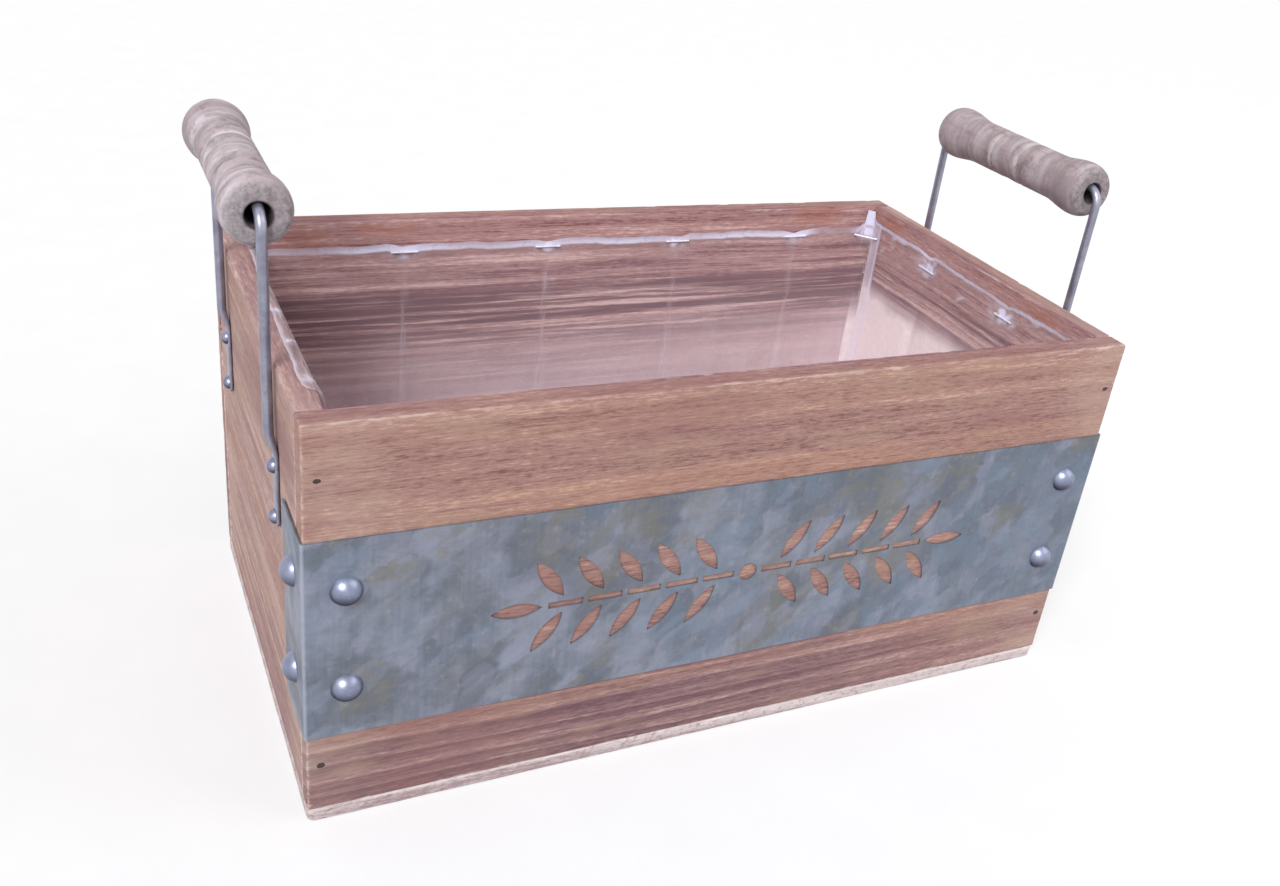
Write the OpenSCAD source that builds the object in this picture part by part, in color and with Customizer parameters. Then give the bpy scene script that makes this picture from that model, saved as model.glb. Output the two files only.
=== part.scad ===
// Wooden herb planter: a nailed box of thin boards with a galvanised band across
// its front, two wire handles with loose turned grips, and a stapled film liner.
// Millimetres, +Z up, front towards -Y, origin at the centre of the base.

/* [Box] */
// Length of the box, left to right
box_l = 300; // [240:5:420]
// Width of the box, front to back
box_w = 168; // [160:2:240]
// Height of the wall boards
wall_h = 140; // [130:1:190]
// Thickness of the wall boards
board_t = 9; // [8:0.5:11]
// Thickness of the bottom board
bottom_t = 5; // [4:0.5:9]
// Rounding of the wall boards' edges
edge_r = 0.8; // [0.4:0.1:1.6]
// Corner radius of the bottom board
bottom_r = 3; // [1:0.5:8]

/* [Brads] */
// Shank diameter of the brads that join the boards
brad_d = 1.4; // [1:0.1:1.8]
// Head diameter of the brads
brad_head_d = 2.6; // [2.2:0.1:3.4]
// Head thickness of the brads
brad_head_h = 0.8; // [0.5:0.1:1.2]
// Depth of the brad heads below the wood's face
brad_sunk = 0.2; // [0.1:0.1:0.6]
// Length of the brads in the corner joints
brad_l = 25; // [18:1:36]
// Length of the brads in the bottom board
bottom_brad_l = 20; // [12:1:28]
// Number of brads in each corner joint
brad_count = 3; // [2:1:5]
// Distance of the end brads from the walls' top and bottom edges
brad_edge = 18; // [12:1:24]
// Distance of the bottom brads from the corners of the box
bottom_brad_edge = 25; // [16:1:32]
// Greatest spacing of the bottom brads
bottom_brad_pitch = 85; // [50:5:120]
// Distance of the end walls' bottom brads from the tips of the corner brads
end_brad_gap = 12; // [6:1:20]

/* [Band] */
// Height of the metal band
band_h = 72; // [54:1:90]
// Height of the band above the bottom edge of the wall boards
band_up = 30; // [16:1:36]
// Thickness of the band
band_t = 0.6; // [0.4:0.1:1]
// Length of band that wraps round each front corner
wrap_l = 26; // [20:1:28]

/* [Dome nails] */
// Diameter of the domed heads
dome_d = 10; // [8:0.5:11]
// Height of the domed heads
dome_h = 3.6; // [2:0.2:4]
// Shank diameter of the dome nails
dome_nail_d = 1.8; // [1.2:0.1:2.4]
// Shank length of the dome nails
dome_nail_l = 7; // [5:0.5:8]
// Distance of the front dome nails from each end of the box
dome_end = 12.5; // [9:0.5:20]
// Distance of the side dome nails from the front of the box
dome_side = 14; // [12.5:0.5:18]
// Spacing of the two dome nails in a pair
dome_pitch = 36; // [20:1:42]

/* [Leaf cut-outs] */
// Number of leaf pairs on each side of the middle
leaf_pairs = 5; // [3:1:6]
// Spacing of the leaf pairs
leaf_pitch = 14; // [11:0.5:16]
// Length of a leaf
leaf_l = 17.5; // [10:0.5:20]
// Width of a leaf
leaf_w = 5.5; // [3:0.5:7]
// Angle between a leaf and the stem
leaf_angle = 55; // [40:1:70]
// Width of the stem slots
stem_w = 2.4; // [1.5:0.1:3.5]
// Width of the metal bridges between the cut-outs
bridge_w = 2; // [1.5:0.1:3]
// Diameter of the round cut-out in the middle
berry_d = 7; // [4:0.5:9]

/* [Handles] */
// Diameter of the handle wire
wire_d = 3.2; // [2.5:0.1:4.2]
// Distance from the end of the box to the middle of the wire
wire_off = 2.4; // [2:0.1:4]
// Distance between the two legs of a handle
leg_span = 95; // [76:1:100]
// Height of the top of the handle's wire above the rim
handle_rise = 47; // [34:1:70]
// Radius of the wire's bends
bend_r = 6; // [4.5:0.5:8]
// Width of the flattened wire ends
blade_w = 5.6; // [5:0.1:7]
// Thickness of the flattened wire ends
blade_t = 1.3; // [0.8:0.1:2]
// Length of the flattened wire ends
blade_l = 26; // [24:1:32]
// Length over which the round wire turns flat
flatten_l = 7; // [4:1:12]
// Distance from the rim down to the tips of the flattened ends
blade_drop = 54; // [46:1:64]

/* [Handle nails] */
// Diameter of the round heads
pin_head_d = 5; // [4:0.1:5.6]
// Height of the round heads
pin_head_h = 2; // [1.2:0.1:2]
// Shank diameter of the handle nails
pin_d = 2.2; // [1.6:0.1:2.8]
// Shank length of the handle nails
pin_l = 8; // [5:0.5:8.5]
// Distance of the lower nail from the tip of the flattened end
pin_end = 3.5; // [3:0.5:5]
// Spacing of the two nails in a flattened end
pin_pitch = 18; // [12:1:19]

/* [Grips] */
// Diameter of the swollen ends of a grip
grip_d = 21; // [19:0.5:28]
// Diameter of the waist of a grip
waist_d = 17.5; // [14:0.5:19]
// Diameter of the flat end faces of a grip
grip_face_d = 15; // [12:0.5:18]
// Bore through a grip
bore_d = 7.7; // [6:0.1:10]
// Distance over which a swollen end runs down to the waist
knob_l = 21; // [14:1:30]
// Distance from the end face to where the grip is widest
knob_crest = 6; // [4:0.5:9]
// Distance of the turned grooves from the middle of the grip
groove_off = 8; // [5:0.5:12]
// Width of the turned grooves
groove_w = 2.6; // [1.5:0.1:4]
// Depth of the turned grooves
groove_h = 0.5; // [0.2:0.1:1]

/* [Film liner] */
// Thickness of the film liner
film_t = 0.4; // [0.2:0.1:0.8]
// Distance from the rim down to the edge of the film
film_drop = 10; // [6:1:20]
// Corner radius of the film liner
film_r = 4; // [2:0.5:5]

/* [Staples] */
// Diameter of the staple wire
staple_d = 0.7; // [0.5:0.1:0.9]
// Width of a staple
staple_w = 11; // [8:0.5:12]
// Length of the staple legs in the wood
staple_leg = 5.5; // [3:0.5:6]
// Distance from the edge of the film down to the staples
staple_drop = 3; // [2:0.5:6]
// Room behind the corner staples for the folds of the film
fold_room = 0.6; // [0.3:0.1:1.2]
// Distance of the first staple in a row from the inner corner
staple_first = 41; // [34:1:48]
// Spacing of the staples along the long walls
staple_pitch = 60; // [45:1:80]
// Spacing of the staples in the end walls
staple_end_pitch = 54; // [40:1:70]

/* [Clearances] */
// Gap round nails and staples in their holes
hole_gap = 0.05; // [0.05:0.01:0.2]
// Gap between the film and the boards
film_gap = 0.3; // [0.2:0.1:1]
// Gap between the film and the staple crowns
crown_gap = 0.1; // [0.05:0.05:0.3]
// Gap between the wire and the top of a grip's bore
wire_gap = 0.3; // [0.2:0.05:0.5]
// Gap between a grip's end face and the handle leg
grip_play = 1.9; // [1:0.1:3]

/* [Hidden] */
$fn = 48;

// Sides of the box, as the sign of X or Y
LEFT = -1;
RIGHT = 1;
FRONT = -1;
BACK = 1;

// How far a cut runs past the face it starts from
over = 1;
// Thickness of the slices that a hull joins
slice = 0.01;

rim_z = bottom_t + wall_h;
inner_l = box_l - 2 * board_t;
inner_w = box_w - 2 * board_t;

brad_step = (wall_h - 2 * brad_edge) / (brad_count - 1);
bottom_run = box_l - 2 * bottom_brad_edge;
bottom_brad_gaps = ceil(bottom_run / bottom_brad_pitch);
bottom_brad_step = bottom_run / bottom_brad_gaps;
end_brad_y = box_w / 2 - brad_l - end_brad_gap;

band_z = bottom_t + band_up;
band_mid_z = band_z + band_h / 2;
band_bend_r = edge_r / 2;
dome_ball_r = (pow(dome_d / 2, 2) + pow(dome_h, 2)) / (2 * dome_h);

leaf_arc_r = (pow(leaf_l, 2) + pow(leaf_w, 2)) / (4 * leaf_w);
sprig_start = berry_d / 2 + bridge_w;

wire_z = rim_z + handle_rise;
blade_z = rim_z - blade_drop;
round_z = blade_z + blade_l + flatten_l;
pin_ball_r = (pow(pin_head_d / 2, 2) + pow(pin_head_h, 2)) / (2 * pin_head_h);

grip_l = leg_span - wire_d - 2 * grip_play;
grip_z = wire_z - (bore_d / 2 - wire_d / 2 - wire_gap);

film_top_z = rim_z - film_drop;
staple_z = film_top_z - staple_drop;
staple_in = film_gap + film_t + crown_gap + staple_d / 2;
staple_span = staple_w - staple_d;
corner_staple_in = staple_span / 2 + (staple_in + fold_room) * sqrt(2);

// Flat rectangle with rounded corners, round the origin
module rounded(l, w, r) {
    square([l - 2 * r, w], center = true);
    square([l, w - 2 * r], center = true);
    for (x = [-1, 1], y = [-1, 1])
        translate([x * (l / 2 - r), y * (w / 2 - r)]) circle(r);
}

// Wall board with rounded long edges and ends, its length along X and its foot at z = 0
module wall_board(l) {
    intersection() {
        translate([0, 0, wall_h / 2]) rotate([90, 0, 90])
            linear_extrude(l + over, center = true) rounded(board_t, wall_h, edge_r);
        translate([0, 0, -over])
            linear_extrude(wall_h + 2 * over) rounded(l, board_t, edge_r);
    }
}

// Point on the outer face of a wall, with +Z turned to point out of the box
module on_end(side, y, z) {
    translate([side * box_l / 2, y, z]) rotate([0, side * 90, 0]) children();
}
module on_long(face, x, z) {
    translate([x, face * box_w / 2, z]) rotate([-face * 90, 0, 0]) children();
}

// Point on the inner face of a wall, with +Z turned to point into the box
module inside_end(side, y, z) {
    translate([side * inner_l / 2, y, z]) rotate([0, -side * 90, 0])
        rotate([0, 0, 90]) children();
}
module inside_long(face, x, z) {
    translate([x, face * inner_w / 2, z]) rotate([face * 90, 0, 0]) children();
}

// Brad with its head sunk below z = 0 and its shank along -Z
module brad(l) {
    translate([0, 0, -brad_sunk - brad_head_h]) cylinder(d = brad_head_d, h = brad_head_h);
    translate([0, 0, -brad_sunk - l]) cylinder(d = brad_d, h = l);
}
module brad_hole(l) {
    translate([0, 0, -brad_sunk - brad_head_h - hole_gap])
        cylinder(d = brad_head_d + 2 * hole_gap, h = brad_sunk + brad_head_h + over);
    translate([0, 0, -brad_sunk - l - hole_gap])
        cylinder(d = brad_d + 2 * hole_gap, h = l + over);
}

// Places of the brads in one corner joint
module corner_brad_places(side, face) {
    for (i = [0 : brad_count - 1])
        on_long(face, side * (box_l - board_t) / 2, bottom_t + brad_edge + i * brad_step)
            children();
}

// Places of the brads under the bottom board
module long_bottom_brad_places(face) {
    for (i = [0 : bottom_brad_gaps])
        translate([i * bottom_brad_step - bottom_run / 2, face * (box_w - board_t) / 2, 0])
            rotate([180, 0, 0]) children();
}
module end_bottom_brad_places(side) {
    for (y = [-1, 1])
        translate([side * (box_l - board_t) / 2, y * end_brad_y, 0])
            rotate([180, 0, 0]) children();
}

// Places of a pair of dome nails, on the face of the band
module front_dome_places(side) {
    for (dz = [-1, 1])
        on_long(FRONT, side * (box_l / 2 - dome_end), band_mid_z + dz * dome_pitch / 2)
            translate([0, 0, band_t]) children();
}
module side_dome_places(side) {
    for (dz = [-1, 1])
        on_end(side, dome_side - box_w / 2, band_mid_z + dz * dome_pitch / 2)
            translate([0, 0, band_t]) children();
}

// Nail with a domed head on z = 0 and its shank along -Z
module dome_nail(d, h, ball_r, shank_d, shank_l) {
    intersection() {
        translate([0, 0, h - ball_r]) sphere(ball_r);
        cylinder(d = d, h = h + over);
    }
    translate([0, 0, -shank_l]) cylinder(d = shank_d, h = shank_l + h / 2);
}
module shank_hole(shank_d, shank_l) {
    translate([0, 0, -shank_l - hole_gap])
        cylinder(d = shank_d + 2 * hole_gap, h = shank_l + hole_gap + over);
}
module band_nail() {
    dome_nail(dome_d, dome_h, dome_ball_r, dome_nail_d, dome_nail_l);
}
module handle_nail() {
    dome_nail(pin_head_d, pin_head_h, pin_ball_r, pin_d, pin_l);
}

// Places of the four nails of a handle, on the face of its flattened ends
module handle_nail_places(side) {
    for (y = [-1, 1], up = [0, 1])
        on_end(side, y * leg_span / 2, blade_z + pin_end + up * pin_pitch)
            translate([0, 0, blade_t]) children();
}

// Staple with the middle of its crown at z = 0, along X, and its legs along -Z
module staple() {
    for (x = [-1, 1]) translate([x * staple_span / 2, 0, 0]) {
        sphere(d = staple_d);
        translate([0, 0, -staple_in - staple_leg]) cylinder(d = staple_d, h = staple_in + staple_leg);
    }
    translate([-staple_span / 2, 0, 0]) rotate([0, 90, 0]) cylinder(d = staple_d, h = staple_span);
}
module staple_holes() {
    for (x = [-1, 1]) translate([x * staple_span / 2, 0, -staple_in - staple_leg - hole_gap])
        cylinder(d = staple_d + 2 * hole_gap, h = staple_in + staple_leg);
}

// Places of the staples in one wall, at the middle of their crowns
module long_staple_places(face) {
    row_end = inner_l - 2 * staple_w;
    for (d = [staple_first : staple_pitch : row_end])
        inside_long(face, inner_l / 2 - d, staple_z) translate([0, 0, staple_in]) children();
}
module end_staple_places(side) {
    for (y = [-1, 1])
        inside_end(side, y * staple_end_pitch / 2, staple_z)
            translate([0, 0, staple_in]) children();
}

// Place of the staple that is driven across an inner corner, one leg into each wall
module corner_staple_place(side, face) {
    translate([side * inner_l / 2, face * inner_w / 2, staple_z])
        rotate([0, 0, -side * face * 45]) rotate([face * 90, 0, 0])
            translate([0, 0, corner_staple_in]) children();
}

// Wall boards
module long_board(face) {
    difference() {
        translate([0, face * (box_w - board_t) / 2, bottom_t]) wall_board(box_l);
        for (side = [LEFT, RIGHT]) corner_brad_places(side, face) brad_hole(brad_l);
        long_bottom_brad_places(face) brad_hole(bottom_brad_l);
        long_staple_places(face) staple_holes();
        for (side = [LEFT, RIGHT]) corner_staple_place(side, face) staple_holes();
        if (face == FRONT)
            for (side = [LEFT, RIGHT]) front_dome_places(side) shank_hole(dome_nail_d, dome_nail_l);
    }
}
module end_board(side) {
    difference() {
        translate([side * (box_l - board_t) / 2, 0, bottom_t]) rotate([0, 0, 90]) wall_board(inner_w);
        for (face = [FRONT, BACK]) corner_brad_places(side, face) brad_hole(brad_l);
        end_bottom_brad_places(side) brad_hole(bottom_brad_l);
        end_staple_places(side) staple_holes();
        for (face = [FRONT, BACK]) corner_staple_place(side, face) staple_holes();
        side_dome_places(side) shank_hole(dome_nail_d, dome_nail_l);
        handle_nail_places(side) shank_hole(pin_d, pin_l);
    }
}
module front_board() color("#b28f7d") long_board(FRONT);
module back_board() color("#a07c72") long_board(BACK);
module left_end_board() color("#b4978a") end_board(LEFT);
module right_end_board() color("#a88577") end_board(RIGHT);
module bottom_board() color("#b8a79c") {
    difference() {
        linear_extrude(bottom_t) rounded(box_l, box_w, bottom_r);
        for (face = [FRONT, BACK]) long_bottom_brad_places(face) brad_hole(bottom_brad_l);
        for (side = [LEFT, RIGHT]) end_bottom_brad_places(side) brad_hole(bottom_brad_l);
    }
}

// Brads, one group for each joint
module front_left_brads() color("#5c5350") corner_brad_places(LEFT, FRONT) brad(brad_l);
module front_right_brads() color("#5c5350") corner_brad_places(RIGHT, FRONT) brad(brad_l);
module back_left_brads() color("#5c5350") corner_brad_places(LEFT, BACK) brad(brad_l);
module back_right_brads() color("#5c5350") corner_brad_places(RIGHT, BACK) brad(brad_l);
module bottom_brads() color("#5c5350") {
    for (face = [FRONT, BACK]) long_bottom_brad_places(face) brad(bottom_brad_l);
    for (side = [LEFT, RIGHT]) end_bottom_brad_places(side) brad(bottom_brad_l);
}

// Leaf with pointed ends, from the origin along X
module leaf() {
    translate([leaf_l / 2, 0]) intersection_for(up = [-1, 1])
        translate([0, up * (leaf_arc_r - leaf_w / 2)]) circle(leaf_arc_r);
}

// Half of the leafy sprig, from the middle of the band along X
module half_sprig() {
    for (i = [0 : leaf_pairs - 1]) translate([sprig_start + i * leaf_pitch, 0]) {
        translate([0, -stem_w / 2]) square([leaf_pitch - bridge_w, stem_w]);
        for (up = [-1, 1])
            translate([leaf_pitch / 2, up * (stem_w / 2 + bridge_w)])
                rotate(up * leaf_angle) leaf();
    }
    translate([sprig_start + leaf_pairs * leaf_pitch, 0]) leaf();
}
module sprig() {
    circle(d = berry_d);
    for (turn = [0, 1]) mirror([turn, 0]) half_sprig();
}

// Outline of the box's front corners, seen from above, grown by the given amount
module front_outline(grow, r) {
    intersection() {
        translate([0, box_w / 2]) rounded(box_l + 2 * grow, box_w + 2 * grow, r);
        translate([-box_l, -grow]) square([2 * box_l, wrap_l + grow]);
    }
}

// Galvanised band with the sprig cut through it
module metal_band() color("#8b98a0") {
    difference() {
        translate([0, -box_w / 2, band_z]) linear_extrude(band_h) difference() {
            front_outline(band_t, band_bend_r + band_t);
            translate([0, box_w / 2]) rounded(box_l, box_w, band_bend_r);
        }
        on_long(FRONT, 0, band_mid_z) translate([0, 0, -over])
            linear_extrude(band_t + 2 * over) sprig();
        for (side = [LEFT, RIGHT]) {
            front_dome_places(side) shank_hole(dome_nail_d, dome_nail_l);
            side_dome_places(side) shank_hole(dome_nail_d, dome_nail_l);
        }
    }
}

// Dome nails, one group for each pair
module front_left_domes() color("#aeb4ba") front_dome_places(LEFT) band_nail();
module front_right_domes() color("#aeb4ba") front_dome_places(RIGHT) band_nail();
module left_side_domes() color("#aeb4ba") side_dome_places(LEFT) band_nail();
module right_side_domes() color("#aeb4ba") side_dome_places(RIGHT) band_nail();

// One leg of a handle, with its flattened end against the wood at x = 0
module handle_leg() {
    difference() {
        rotate([90, 0, 90]) linear_extrude(blade_t) {
            translate([0, blade_z + blade_w / 2]) circle(d = blade_w);
            translate([-blade_w / 2, blade_z + blade_w / 2]) square([blade_w, blade_l - blade_w / 2]);
        }
        for (up = [0, 1])
            translate([-over, 0, blade_z + pin_end + up * pin_pitch]) rotate([0, 90, 0])
                cylinder(d = pin_d + 2 * hole_gap, h = blade_t + 2 * over);
    }
    hull() {
        translate([0, -blade_w / 2, blade_z + blade_l - slice]) cube([blade_t, blade_w, slice]);
        translate([wire_off, 0, round_z]) cylinder(d = wire_d, h = slice, $fn = 32);
    }
    translate([wire_off, 0, round_z]) cylinder(d = wire_d, h = wire_z - bend_r - round_z);
}

// Half of a handle, on the +Y side, with the wood's face at x = 0
module half_handle() {
    translate([0, leg_span / 2, 0]) handle_leg();
    translate([wire_off, leg_span / 2 - bend_r, wire_z - bend_r]) rotate([90, 0, 90])
        rotate_extrude(angle = 90) translate([bend_r, 0]) circle(d = wire_d);
    translate([wire_off, 0, wire_z]) rotate([-90, 0, 0])
        cylinder(d = wire_d, h = leg_span / 2 - bend_r);
}
module handle_wire() {
    for (turn = [0, 1]) mirror([0, turn, 0]) translate([box_l / 2, 0, 0]) half_handle();
}
module right_handle_wire() color("#8f97a3") handle_wire();
module left_handle_wire() color("#8f97a3") mirror([1, 0, 0]) handle_wire();
module left_handle_nails() color("#a9adb4") handle_nail_places(LEFT) handle_nail();
module right_handle_nails() color("#a9adb4") handle_nail_places(RIGHT) handle_nail();

// Radius of a grip at distance s from its middle, without the rounding of its ends
function knob_share(e) = e < knob_crest ? 1 : e > knob_l ? 0
    : (1 + cos(180 * (e - knob_crest) / (knob_l - knob_crest))) / 2;
function groove_share(g) = g > groove_w / 2 ? 0 : pow(cos(180 * g / groove_w), 2);
function body_r(s) = waist_d / 2
    + (grip_d - waist_d) / 2 * knob_share(grip_l / 2 - abs(s))
    - groove_h * groove_share(abs(abs(s) - groove_off));

// Steps along half a grip: a quarter of an ellipse at the end, then even steps
round_steps = 8;
body_steps = 40;
crest_s = grip_l / 2 - knob_crest;
end_curve = [for (i = [0 : round_steps]) let (a = 90 * i / round_steps)
    [grip_face_d / 2 + (grip_d - grip_face_d) / 2 * sin(a), grip_l / 2 - knob_crest * (1 - cos(a))]];
body_curve = [for (i = [1 : 2 * body_steps - 1]) let (s = crest_s * (1 - i / body_steps)) [body_r(s), s]];
far_curve = [for (i = [round_steps : -1 : 0]) [end_curve[i][0], -end_curve[i][1]]];

// Turned grip with its bore along Y, round the origin
module grip() {
    rotate([90, 0, 0]) rotate_extrude($fn = 64) polygon(concat(
        [[bore_d / 2, -grip_l / 2], [bore_d / 2, grip_l / 2]], end_curve, body_curve, far_curve));
}
module left_grip() color("#a99a9b") translate([-box_l / 2 - wire_off, 0, grip_z]) grip();
module right_grip() color("#a99a9b") translate([box_l / 2 + wire_off, 0, grip_z]) grip();

// Clear film liner, open at the top
module film_liner() color("#dcd2d4", 0.4) {
    film_l = inner_l - 2 * film_gap;
    film_w = inner_w - 2 * film_gap;
    film_z = bottom_t + film_gap;
    difference() {
        translate([0, 0, film_z]) linear_extrude(film_top_z - film_z) rounded(film_l, film_w, film_r);
        translate([0, 0, film_z + film_t]) linear_extrude(film_top_z)
            rounded(film_l - 2 * film_t, film_w - 2 * film_t, film_r - film_t);
        for (face = [FRONT, BACK]) long_staple_places(face) staple_holes();
        for (side = [LEFT, RIGHT]) {
            end_staple_places(side) staple_holes();
            for (face = [FRONT, BACK]) corner_staple_place(side, face) staple_holes();
        }
    }
}

// Staples, one group for each wall, the long walls' groups with those in their corners
module long_staples(face) {
    long_staple_places(face) staple();
    for (side = [LEFT, RIGHT]) corner_staple_place(side, face) staple();
}
module front_staples() color("#d4d8e0") long_staples(FRONT);
module back_staples() color("#d4d8e0") long_staples(BACK);
module left_staples() color("#d4d8e0") end_staple_places(LEFT) staple();
module right_staples() color("#d4d8e0") end_staple_places(RIGHT) staple();

front_board();
back_board();
left_end_board();
right_end_board();
bottom_board();
front_left_brads();
front_right_brads();
back_left_brads();
back_right_brads();
bottom_brads();
metal_band();
front_left_domes();
front_right_domes();
left_side_domes();
right_side_domes();
left_handle_wire();
right_handle_wire();
left_handle_nails();
right_handle_nails();
left_grip();
right_grip();
film_liner();
front_staples();
back_staples();
left_staples();
right_staples();
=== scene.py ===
import math

import bmesh
import bpy
from mathutils import Matrix, Vector, noise


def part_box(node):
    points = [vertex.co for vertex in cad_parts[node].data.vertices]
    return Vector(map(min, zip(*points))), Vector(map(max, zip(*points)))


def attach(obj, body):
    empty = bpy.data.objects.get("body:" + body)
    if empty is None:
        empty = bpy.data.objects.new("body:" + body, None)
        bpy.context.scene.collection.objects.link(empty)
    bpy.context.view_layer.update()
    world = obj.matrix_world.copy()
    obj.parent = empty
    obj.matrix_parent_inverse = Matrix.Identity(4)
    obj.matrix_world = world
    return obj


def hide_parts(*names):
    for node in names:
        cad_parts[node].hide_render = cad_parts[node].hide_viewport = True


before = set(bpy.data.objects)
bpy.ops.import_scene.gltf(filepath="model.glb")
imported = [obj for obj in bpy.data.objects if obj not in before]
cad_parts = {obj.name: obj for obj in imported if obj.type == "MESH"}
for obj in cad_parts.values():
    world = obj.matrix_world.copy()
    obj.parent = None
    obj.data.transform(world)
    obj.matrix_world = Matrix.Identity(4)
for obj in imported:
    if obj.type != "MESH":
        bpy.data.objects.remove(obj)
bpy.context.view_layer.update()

MM = 0.001
LEFT, RIGHT = -1, 1
FRONT, BACK = -1, 1

# Sizes read from the frame
board_low, board_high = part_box("front_board")
BOX_END = board_high.x
BOX_FACE = -board_low.y
BOARD_T = board_high.y - board_low.y
RIM = board_high.z
INNER_X = BOX_END - BOARD_T
INNER_Y = BOX_FACE - BOARD_T
band_low, band_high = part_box("metal_band")


def put(name, data):
    """A new object of the scene that shows this data."""
    made = bpy.data.objects.new(name, data)
    bpy.context.scene.collection.objects.link(made)
    return made


# Camera at the photograph's place
CAMERA_PLACE = (-0.20421, -0.39004, 0.31144)
CAMERA_TURN = (62.2014, -7.0936, -25.7371)
CAMERA_LENS = 35.33
CAMERA_SHIFT = (-0.03634, -0.00564)
CAMERA_SENSOR = 36


def set_camera():
    data = bpy.data.cameras.new("camera")
    data.sensor_width = CAMERA_SENSOR
    data.lens = CAMERA_LENS
    data.shift_x, data.shift_y = CAMERA_SHIFT
    data.clip_start = 0.01
    camera = put("camera", data)
    camera.location = CAMERA_PLACE
    camera.rotation_euler = [math.radians(turn) for turn in CAMERA_TURN]
    bpy.context.scene.camera = camera


# Colours, written as they look on a screen
def paint(red, green, blue):
    def linear(level):
        share = level / 255
        return share / 12.92 if share <= 0.04045 else ((share + 0.055) / 1.055) ** 2.4

    return (linear(red), linear(green), linear(blue), 1.0)


class Wiring:
    """Adds nodes to one material or group, and joins them."""

    def __init__(self, tree):
        self.tree = tree

    def node(self, kind, inputs=None, **settings):
        made = self.tree.nodes.new("ShaderNode" + kind)
        for name, value in settings.items():
            setattr(made, name, value)
        for name, value in (inputs or {}).items():
            self.join(value, made.inputs[name])
        return made

    def join(self, value, socket):
        if isinstance(value, bpy.types.NodeSocket):
            self.tree.links.new(value, socket)
        else:
            socket.default_value = value

    def math(self, operation, first, second=0.0):
        return self.node("Math", {0: first, 1: second}, operation=operation).outputs[0]

    def add(self, first, second):
        return self.math("ADD", first, second)

    def times(self, first, second):
        return self.math("MULTIPLY", first, second)

    def swing(self, value, amount):
        """A 0 to 1 value turned into one that swings by the amount round zero."""
        return self.times(self.math("SUBTRACT", value, 0.5), amount)

    def span(self, value, low, high, to_low=0.0, to_high=1.0):
        """A soft step from one level to another while the value goes from low to high."""
        made = self.node(
            "MapRange",
            {"Value": value, "From Min": low, "From Max": high, "To Min": to_low, "To Max": to_high},
            interpolation_type="SMOOTHSTEP",
        )
        return made.outputs["Result"]

    def near(self, value, middle, reach, soft):
        """1 where the value lies within reach of the middle, with soft limits."""
        distance = self.math("ABSOLUTE", self.math("SUBTRACT", value, middle))
        return self.span(distance, reach + soft, reach)

    def stretch(self, place, x, y, z):
        return self.node("VectorMath", {0: place, 1: (x, y, z)}, operation="MULTIPLY").outputs[0]

    def shift(self, place, offset):
        return self.node("VectorMath", {0: place, 1: offset}, operation="ADD").outputs[0]

    def parts(self, place):
        return self.node("SeparateXYZ", {0: place}).outputs

    def point(self, x, y, z):
        return self.node("CombineXYZ", {0: x, 1: y, 2: z}).outputs[0]

    def clouds(self, place, detail=2.0, roughness=0.5, size=1.0, twist=0.0):
        """Noise from 0 to 1, one swell for each unit of size."""
        made = self.node(
            "TexNoise",
            {"Vector": place, "Scale": 1 / size, "Detail": detail, "Roughness": roughness,
             "Distortion": twist},
        )
        return made.outputs["Fac"]

    def blend(self, share, first, second, kind="MIX"):
        made = self.node("Mix", {0: share, 6: first, 7: second}, data_type="RGBA", blend_type=kind)
        return made.outputs[2]

    def lay(self, colour, mask, low, high, most, tone):
        """The tone laid over the colour, up to its most, as the mask goes from low to high."""
        return self.blend(self.span(mask, low, high, 0.0, most), colour, tone)

    def between(self, share, first, second):
        made = self.node("Mix", {0: share, 2: first, 3: second}, data_type="FLOAT")
        return made.outputs[0]

    def use(self, group, inputs):
        made = self.node("Group", node_tree=group)
        for name, value in inputs.items():
            self.join(value, made.inputs[name])
        return made.outputs

    def bump(self, height, depth_mm, strength=1.0):
        """Normal of a skin whose height goes up by depth_mm while the value goes from 0 to 1."""
        made = self.node(
            "Bump", {"Height": height, "Strength": strength, "Distance": depth_mm * MM}
        )
        return made.outputs["Normal"]


def start_group(name, inputs, outputs):
    """A shader node group with these named inputs, at their defaults, and these named outputs."""
    tree = bpy.data.node_groups.new(name, "ShaderNodeTree")
    kinds = {1: "NodeSocketFloat", 3: "NodeSocketVector", 4: "NodeSocketColor"}
    for socket, default in inputs.items():
        width = len(default) if isinstance(default, tuple) else 1
        made = tree.interface.new_socket(socket, in_out="INPUT", socket_type=kinds[width])
        made.default_value = default
    for socket, width in outputs.items():
        tree.interface.new_socket(socket, in_out="OUTPUT", socket_type=kinds[width])
    wiring = Wiring(tree)
    wiring.given = tree.nodes.new("NodeGroupInput").outputs
    wiring.result = tree.nodes.new("NodeGroupOutput").inputs
    return wiring


def start_material(name):
    """A new material with its wiring, its Principled shader and the place on the piece in millimetres."""
    material = bpy.data.materials.new(name)
    material.use_nodes = True
    wiring = Wiring(material.node_tree)
    shader = material.node_tree.nodes["Principled BSDF"]
    place = wiring.stretch(wiring.node("TexCoord").outputs["Object"], 1000, 1000, 1000)
    return material, wiring, shader.inputs, place


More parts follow.
